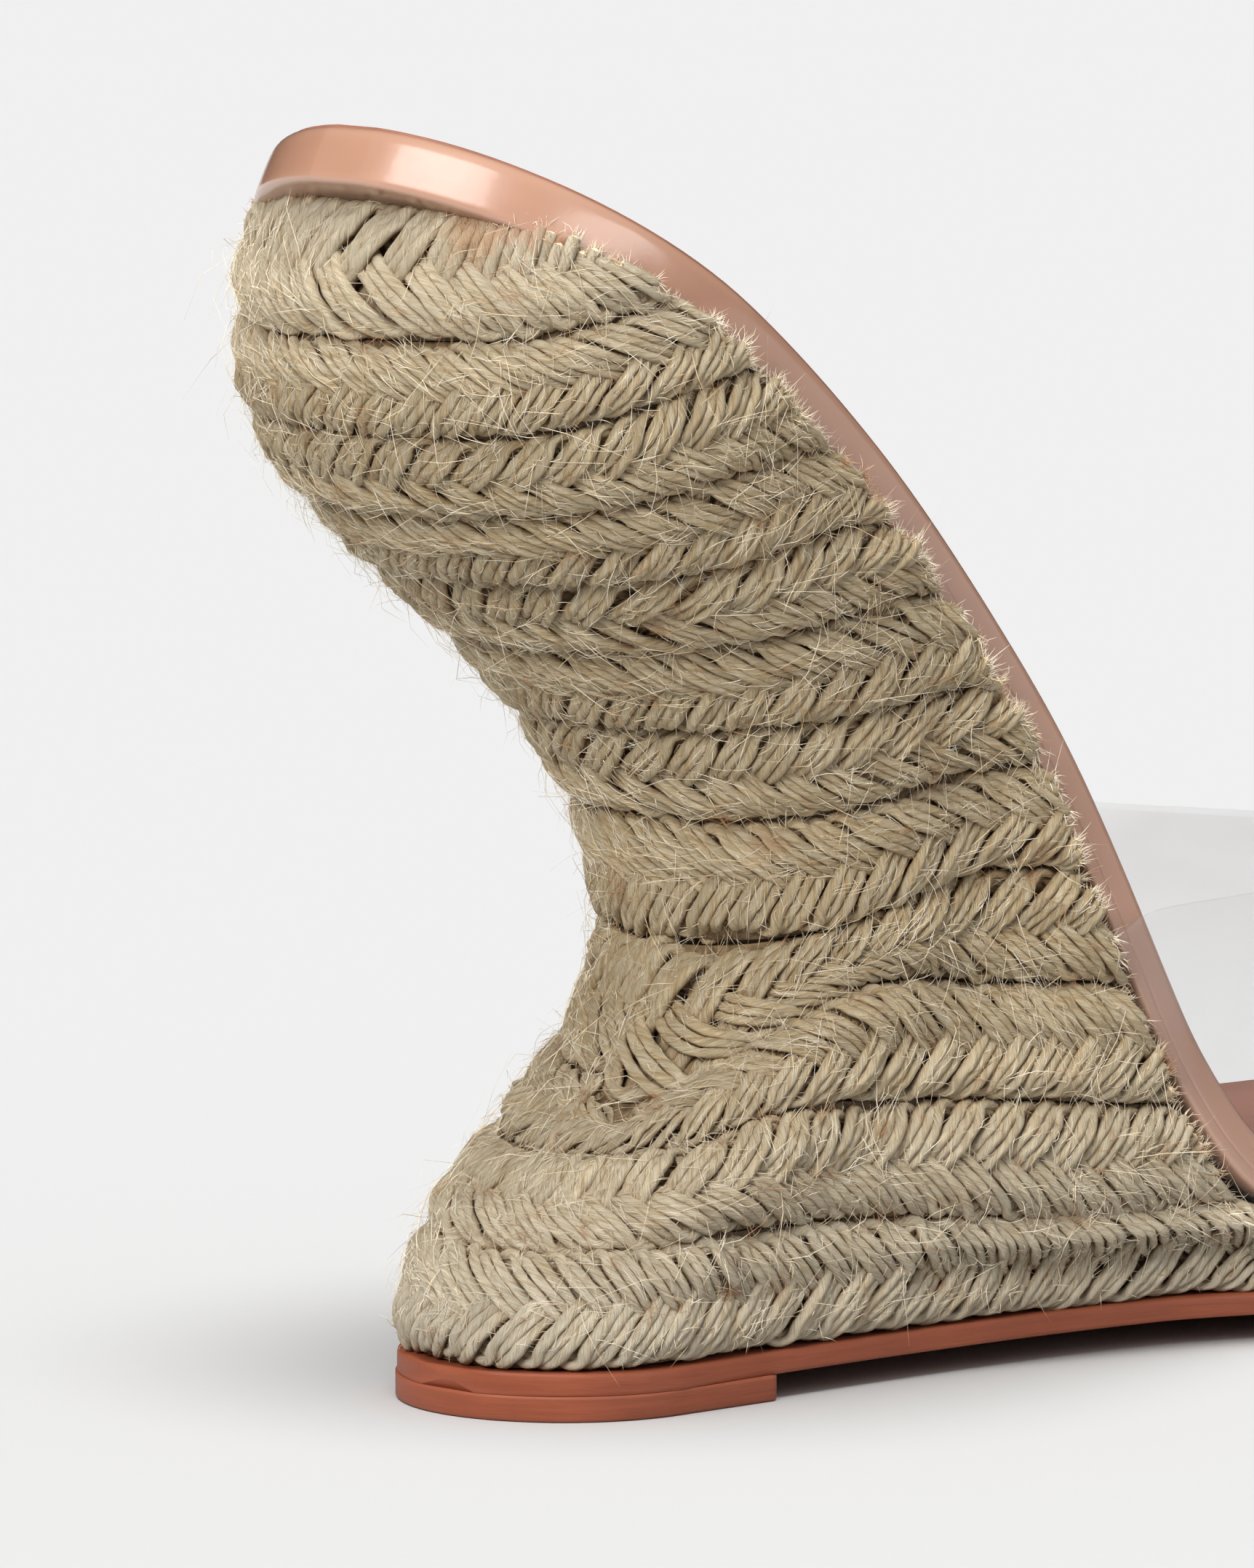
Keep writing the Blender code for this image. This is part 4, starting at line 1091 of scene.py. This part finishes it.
def jute_look():
    """Streaky twisted fibre: the streaks follow each yarn and turn round it."""
    look = Look("jute_yarn")
    s, around, _ = look.split(look.place("UV"))
    angle = look.times(look.plus(around, look.times(s, 0.17)), TAU)
    cosine = look.math("COSINE", angle)
    sine = look.math("SINE", angle)

    def fibres(along, across, detail, roughness):
        """Noise drawn out along the yarn and finer across it."""
        place = look.join(look.times(s, along), look.times(cosine, across), look.times(sine, across))
        return look.noise(place, 1.0, detail, roughness)

    streak = fibres(0.22, 1.1, 5.0, 0.6)
    fibre = fibres(0.55, 5.0, 6.0, 0.7)
    coloured = look.ramp(streak, (0.34, (0.62, 0.42, 0.20)), (0.48, (0.86, 0.665, 0.39)),
                         (0.62, (0.97, 0.82, 0.57)))
    where = look.place()
    # Painted light: the jute's colour is made paler below and above two heights, standing in for light
    # bounced from the floor and light falling on the top rows.
    height = look.split(where)[2]
    low = look.times(look.math("SUBTRACT", PAINTED_LIGHT_BELOW, height), 40.0, clamp=True)
    high = look.times(look.math("SUBTRACT", height, PAINTED_LIGHT_ABOVE), 55.0, clamp=True)
    painted_light_share = look.plus(look.times(low, 0.75), look.times(high, 0.7))
    painted_lit_colour = look.ramp(streak, (0.34, (0.78, 0.62, 0.40)), (0.50, (1.0, 0.90, 0.71)))
    coloured = look.mix(painted_light_share, coloured, painted_lit_colour)
    tone = look.ramp(fibre, (0.36, 0.46), (0.47, 0.88), (0.60, 1.0))
    coloured = look.mix(0.9, coloured, tone, "MULTIPLY")
    slow = look.noise(look.join(look.times(s, 0.035), 0.0, 0.0), 1.0, 1.0)
    coloured = look.mix(1.0, coloured, look.ramp(slow, (0.38, 0.84), (0.62, 1.0)), "MULTIPLY")
    pale = look.ramp(look.noise(where, 55.0, 2.0), (0.35, 0.0), (0.65, 1.0))
    coloured = look.mix(look.times(pale, 0.25), coloured, (0.88, 0.72, 0.47))
    for stain in STAINS:
        coloured = add_stain(look, coloured, where, *stain)
    brown = look.ramp(look.noise(where, 120.0, 3.0), (0.70, 0.0), (0.76, 1.0))
    coloured = look.mix(look.times(brown, 0.4), coloured, (0.46, 0.24, 0.12))
    # Painted shade: the jute's colour is darkened and browned in its crevices and between yarns, wherever
    # occlusion is found, as if shade fell there.
    painted_shade_occlusion = look.node("AmbientOcclusion", Distance=0.002)
    painted_shade_occlusion.samples = 4
    depth = look.ramp(painted_shade_occlusion.outputs["AO"], (0.12, (0.70, 0.52, 0.37)), (0.55, (1.0, 1.0, 1.0)))
    coloured = look.mix(1.0, coloured, depth, "MULTIPLY")
    look.shade(Base_Color=coloured, Roughness=look.ramp(fibre, (0.4, 0.72), (0.6, 0.48)),
               Specular_IOR_Level=0.3, Normal=look.bump(fibre, 0.0009))
    return look.made


def hair_look():
    """Fine hairs, most of them pale and a few brown."""
    look = Look("jute_hair")
    tint = look.noise(look.place(), 260.0, 1.0)
    colour = look.ramp(tint, (0.36, (0.42, 0.22, 0.10)), (0.42, (0.68, 0.55, 0.36)),
                       (0.6, (0.86, 0.77, 0.60)))
    look.shade(Base_Color=colour, Roughness=0.45, Sheen_Weight=0.2, Specular_IOR_Level=0.4)
    return look.made


def felt_look():
    """The dark layer under the strands: painted shade where the gaps between strands fall into shade."""
    look = Look("jute_painted_shade_layer")
    cloud = look.noise(look.place(), 900.0, 5.0)
    look.shade(Base_Color=look.ramp(cloud, (0.35, (0.09, 0.055, 0.028)), (0.65, (0.20, 0.135, 0.07))),
               Roughness=0.95, Normal=look.bump(cloud, 0.0004))
    return look.made


def patent_look():
    """Patent leather: a tinted coat over fine grain, a little rubbed along its edges."""
    look = Look("patent_blush")
    where = look.place()
    grain = look.noise(where, 1400.0, 3.0)
    cloud = look.noise(where, 45.0, 3.0)
    base = look.ramp(cloud, (0.35, (0.325, 0.163, 0.102)), (0.65, (0.37, 0.198, 0.130)))
    rubbed = look.ramp(look.node("NewGeometry").outputs["Pointiness"], (0.5, 0.0), (0.56, 1.0))
    base = look.mix(look.times(rubbed, 0.35), base, (0.60, 0.40, 0.30))
    waves = look.noise(look.stretch(where, (90.0, 90.0, 90.0)), 1.0, 2.0)
    height = look.plus(waves, look.times(grain, 0.06))
    look.shade(Base_Color=base, Roughness=look.ramp(grain, (0.3, 0.32), (0.7, 0.4)), Coat_Weight=1.0,
               Coat_Roughness=0.16, Coat_IOR=1.5, Normal=look.bump(height, 0.0003, 0.5),
               Coat_Normal=look.bump(height, 0.0003, 0.5))
    return look.made


def leather_look(name, dark, light, roughness, layered):
    """Leather: grained, or in fine layers and a little rubbed along its edges where it is cut."""
    look = Look(name)
    where = look.place()
    cloud = look.noise(where, 70.0, 4.0)
    cells = look.node("TexVoronoi", Vector=where, Scale=1300.0).outputs["Distance"]
    base = look.ramp(cloud, (0.3, dark), (0.72, light))
    height = look.times(cells, 0.6)
    if layered:
        streaks = look.noise(look.stretch(where, (90.0, 90.0, 1500.0)), 1.0, 5.0, 0.65)
        base = look.mix(0.45, base, look.ramp(streaks, (0.38, 0.7), (0.6, 1.0)), "MULTIPLY")
        rubbed = look.ramp(look.node("NewGeometry").outputs["Pointiness"], (0.5, 0.0), (0.57, 1.0))
        base = look.mix(look.times(rubbed, 0.12), base, (0.42, 0.17, 0.10))
        height = streaks
    look.shade(Base_Color=base, Roughness=look.ramp(cloud, (0.3, roughness), (0.7, roughness + 0.12)),
               Specular_IOR_Level=0.3, Normal=look.bump(height, 0.00012, 0.7))
    return look.made


def vinyl_look():
    """Clear vinyl: nearly invisible face on, whiter where it is seen edge on, faintly cloudy."""
    look = Look("clear_vinyl")
    facing = look.node("LayerWeight", Blend=0.5).outputs["Facing"]
    grazing = look.math("POWER", facing, 3.0)
    cloud = look.noise(look.place(), 60.0, 3.0)
    alpha = look.plus(look.times(grazing, 0.22), look.times(cloud, 0.05))
    look.shade(Base_Color=look.ramp(cloud, (0.3, (0.34, 0.34, 0.34)), (0.7, (0.42, 0.42, 0.42))),
               Alpha=look.plus(alpha, 0.035), Roughness=0.08, Specular_IOR_Level=0.6,
               Normal=look.bump(look.noise(look.place(), 35.0, 2.0), 0.0006, 0.35))
    return look.made


def grained_look(name, dark, light, scale, stretch, roughness, depth, metallic=0.0):
    """Wood, cork, board, foam or steel: two colours in grain drawn out by the stretch."""
    look = Look(name)
    where = look.stretch(look.place(), stretch)
    grain = look.noise(where, scale, 6.0, 0.6, 0.6)
    spots = look.noise(look.place(), scale * 3, 3.0)
    speckle = look.ramp(spots, (0.3, 0.5), (0.7, 1.0))
    base = look.mix(0.3, look.ramp(grain, (0.3, dark), (0.7, light)), speckle, "MULTIPLY")
    dull = min(roughness + 0.15, 1.0)
    look.shade(Base_Color=base, Roughness=look.ramp(grain, (0.3, roughness), (0.7, dull)),
               Metallic=metallic, Normal=look.bump(grain, depth))
    return look.made


# ---------------------------------------------------------------- the sandal

# CAD nodes that keep their shape: name, dark and light, scale and stretch of the grain, roughness, depth.
INNER_LOOKS = (
    (("wedge_core",), "beech", (0.30, 0.17, 0.08), (0.58, 0.39, 0.22), 14.0, (1.0, 12.0, 12.0), 0.55,
     0.0003),
    (("forefoot_filler",), "cork", (0.20, 0.11, 0.05), (0.52, 0.34, 0.19), 500.0, (1.0, 1.0, 1.0), 0.85,
     0.0004),
    (("insole_board",), "fibre_board", (0.36, 0.28, 0.2), (0.55, 0.46, 0.35), 700.0, (1.0, 2.0, 1.0), 0.85,
     0.0002),
    (("footbed_foam",), "latex_foam", (0.62, 0.55, 0.42), (0.80, 0.74, 0.62), 1500.0, (1.0, 1.0, 1.0), 0.9,
     0.0003),
    (("shank", "shank_rivet_rear", "shank_rivet_front", "heel_seat_screw", "heel_nail_1", "heel_nail_2",
      "heel_nail_3", "heel_nail_4"), "brushed_steel", (0.42, 0.42, 0.43), (0.62, 0.63, 0.65), 60.0,
     (1.0, 30.0, 1.0), 0.28, 0.00005, 1.0),
)


def dress(nodes, look):
    """Gives CAD nodes that stay in place a finished material."""
    for name in nodes:
        for slot in frame["nodes"][name].material_slots:
            slot.link = "OBJECT"
            slot.material = look


def build_sandal():
    jute = [jute_look(), felt_look(), hair_look()]
    for number in range(1, ROW_COUNT + 1):
        node = "jute_foxing" if number == 1 else f"jute_braid_{number:02d}"
        for made in jute_row(number, jute):
            finish_piece(made, node)
    patent = patent_look()
    sole = leather_look("terracotta_leather", (0.19, 0.046, 0.020), (0.25, 0.064, 0.030), 0.42, True)
    lining = leather_look("sock_leather", (0.21, 0.085, 0.055), (0.30, 0.13, 0.085), 0.5, False)
    finish_piece(footbed_rand(patent), "footbed_rand")
    finish_piece(sock(lining), "sock_lining")
    finish_piece(outsole(sole), "outsole")
    finish_piece(heel_top_piece(sole), "heel_top_piece")
    finish_piece(vamp_strap(vinyl_look()), "vamp_strap")

    for nodes, *grain in INNER_LOOKS:
        dress(nodes, grained_look(*grain))


def finish_piece(made, node):
    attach(made, "root")
    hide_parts(node)


# ---------------------------------------------------------------- stage, light and camera

FLOOR_HALF = 30.0
FLOOR_ALBEDO = 0.70
WORLD_STRENGTH = 0.43
HORIZON = 0.45           # brightness of the studio's walls against its ceiling
VIEW_TURN = math.radians(45.0)
VIEW_PITCH = math.radians(7.372)
CAMERA_AT = (-0.98366, -0.99424, 0.24062)
LENS = 337.2
FORWARD = Vector((math.sin(VIEW_TURN), math.cos(VIEW_TURN), 0))
RIGHT = Vector((math.cos(VIEW_TURN), -math.sin(VIEW_TURN), 0))
UP = Vector((0, 0, 1))
# Name, direction as right, forward and up of the camera, strength, spread, whether it lights the floor too.
SUNS = (
    ("overhead", (-0.1, -0.31, 1.3), 2.78, 36.0, True),
    ("front", (-0.55, -1.0, 0.7), 3.5, 24.0, False),
    ("side", (1.0, -0.5, 0.35), 0.6, 50.0, False),
)
# These make the shine and no more: name, direction, distance, size, power.
SOFT_BOXES = (
    ("softbox_high", (-0.40, -0.58, 0.74), 1.6, (1.25, 0.75), 19.0),
    ("softbox_side", (0.64, -0.68, 0.42), 1.8, (1.2, 0.55), 8.0),
)
LIT_PLACE = Vector((0.02, 0.0, 0.06))


def add_floor():
    grid = np.array([[-1, -1, 0], [1, -1, 0], [1, 1, 0], [-1, 1, 0]]) * FLOOR_HALF
    mesh = bpy.data.meshes.new("floor")
    mesh.from_pydata(grid.tolist(), [], [(0, 1, 2, 3)])
    floor = bpy.data.objects.new("floor", mesh)
    bpy.context.scene.collection.objects.link(floor)
    look = Look("paper_floor")
    tooth = look.noise(look.place(), 900.0, 3.0)
    look.shade(Base_Color=look.ramp(tooth, (0.3, FLOOR_ALBEDO * 0.995), (0.7, FLOOR_ALBEDO)), Roughness=0.9,
               Specular_IOR_Level=0.0)
    mesh.materials.append(look.made)


def add_sky():
    """The studio's walls and ceiling as a world, which leaves shiny faces alone."""
    world = bpy.data.worlds.new("studio")
    world.use_nodes = True
    tree = world.node_tree
    upward = tree.nodes.new("ShaderNodeSeparateXYZ")
    tree.links.new(tree.nodes.new("ShaderNodeTexCoord").outputs["Generated"], upward.inputs[0])
    sky = tree.nodes.new("ShaderNodeValToRGB")
    sky.color_ramp.elements[0].color = (HORIZON, HORIZON, HORIZON, 1)
    sky.color_ramp.elements[1].color = (1, 1, 1, 1)
    sky.color_ramp.elements[1].position = 0.7
    tree.links.new(upward.outputs[2], sky.inputs[0])
    tree.links.new(sky.outputs[0], tree.nodes["Background"].inputs["Color"])
    tree.nodes["Background"].inputs["Strength"].default_value = WORLD_STRENGTH
    world.cycles_visibility.glossy = False
    bpy.context.scene.world = world


def add_lamp(name, kind, power, direction):
    """A lamp that shines from a direction, and that direction."""
    lamp = bpy.data.lights.new(name, kind)
    lamp.energy = power
    toward = RIGHT * direction[0] + FORWARD * direction[1] + UP * direction[2]
    made = bpy.data.objects.new(name, lamp)
    made.rotation_euler = toward.to_track_quat("Z", "Y").to_euler()
    bpy.context.scene.collection.objects.link(made)
    return made, toward


def add_lights(sandal):
    """The lamps; two suns shine on the sandal alone, so that they cast nothing on the floor."""
    for name, direction, strength, spread, everywhere in SUNS:
        made, _ = add_lamp(name, "SUN", strength, direction)
        made.data.angle = math.radians(spread)
        made.visible_glossy = False
        if not everywhere:
            made.light_linking.receiver_collection = sandal
    for name, direction, distance, size, power in SOFT_BOXES:
        made, toward = add_lamp(name, "AREA", power, direction)
        made.data.shape = "RECTANGLE"
        made.data.size, made.data.size_y = size
        made.location = LIT_PLACE + toward.normalized() * distance
        made.visible_diffuse = False


def add_camera():
    data = bpy.data.cameras.new("photo_camera")
    data.sensor_width = 36.0
    data.lens = LENS
    data.clip_start = 0.1
    data.clip_end = 200.0
    made = bpy.data.objects.new("photo_camera", data)
    made.location = CAMERA_AT
    ahead = Vector((math.sin(VIEW_TURN) * math.cos(VIEW_PITCH), math.cos(VIEW_TURN) * math.cos(VIEW_PITCH),
                    -math.sin(VIEW_PITCH)))
    made.rotation_euler = ahead.to_track_quat("-Z", "Y").to_euler()
    bpy.context.scene.collection.objects.link(made)
    bpy.context.scene.camera = made


build_sandal()
lit = bpy.data.collections.new("sandal_pieces")
for shown in bpy.context.scene.objects:
    if shown.type == "MESH" and not shown.hide_render:
        lit.objects.link(shown)
add_floor()
add_sky()
add_lights(lit)
add_camera()
bpy.context.scene.view_settings.view_transform = "Standard"
bpy.context.scene.view_settings.look = "None"
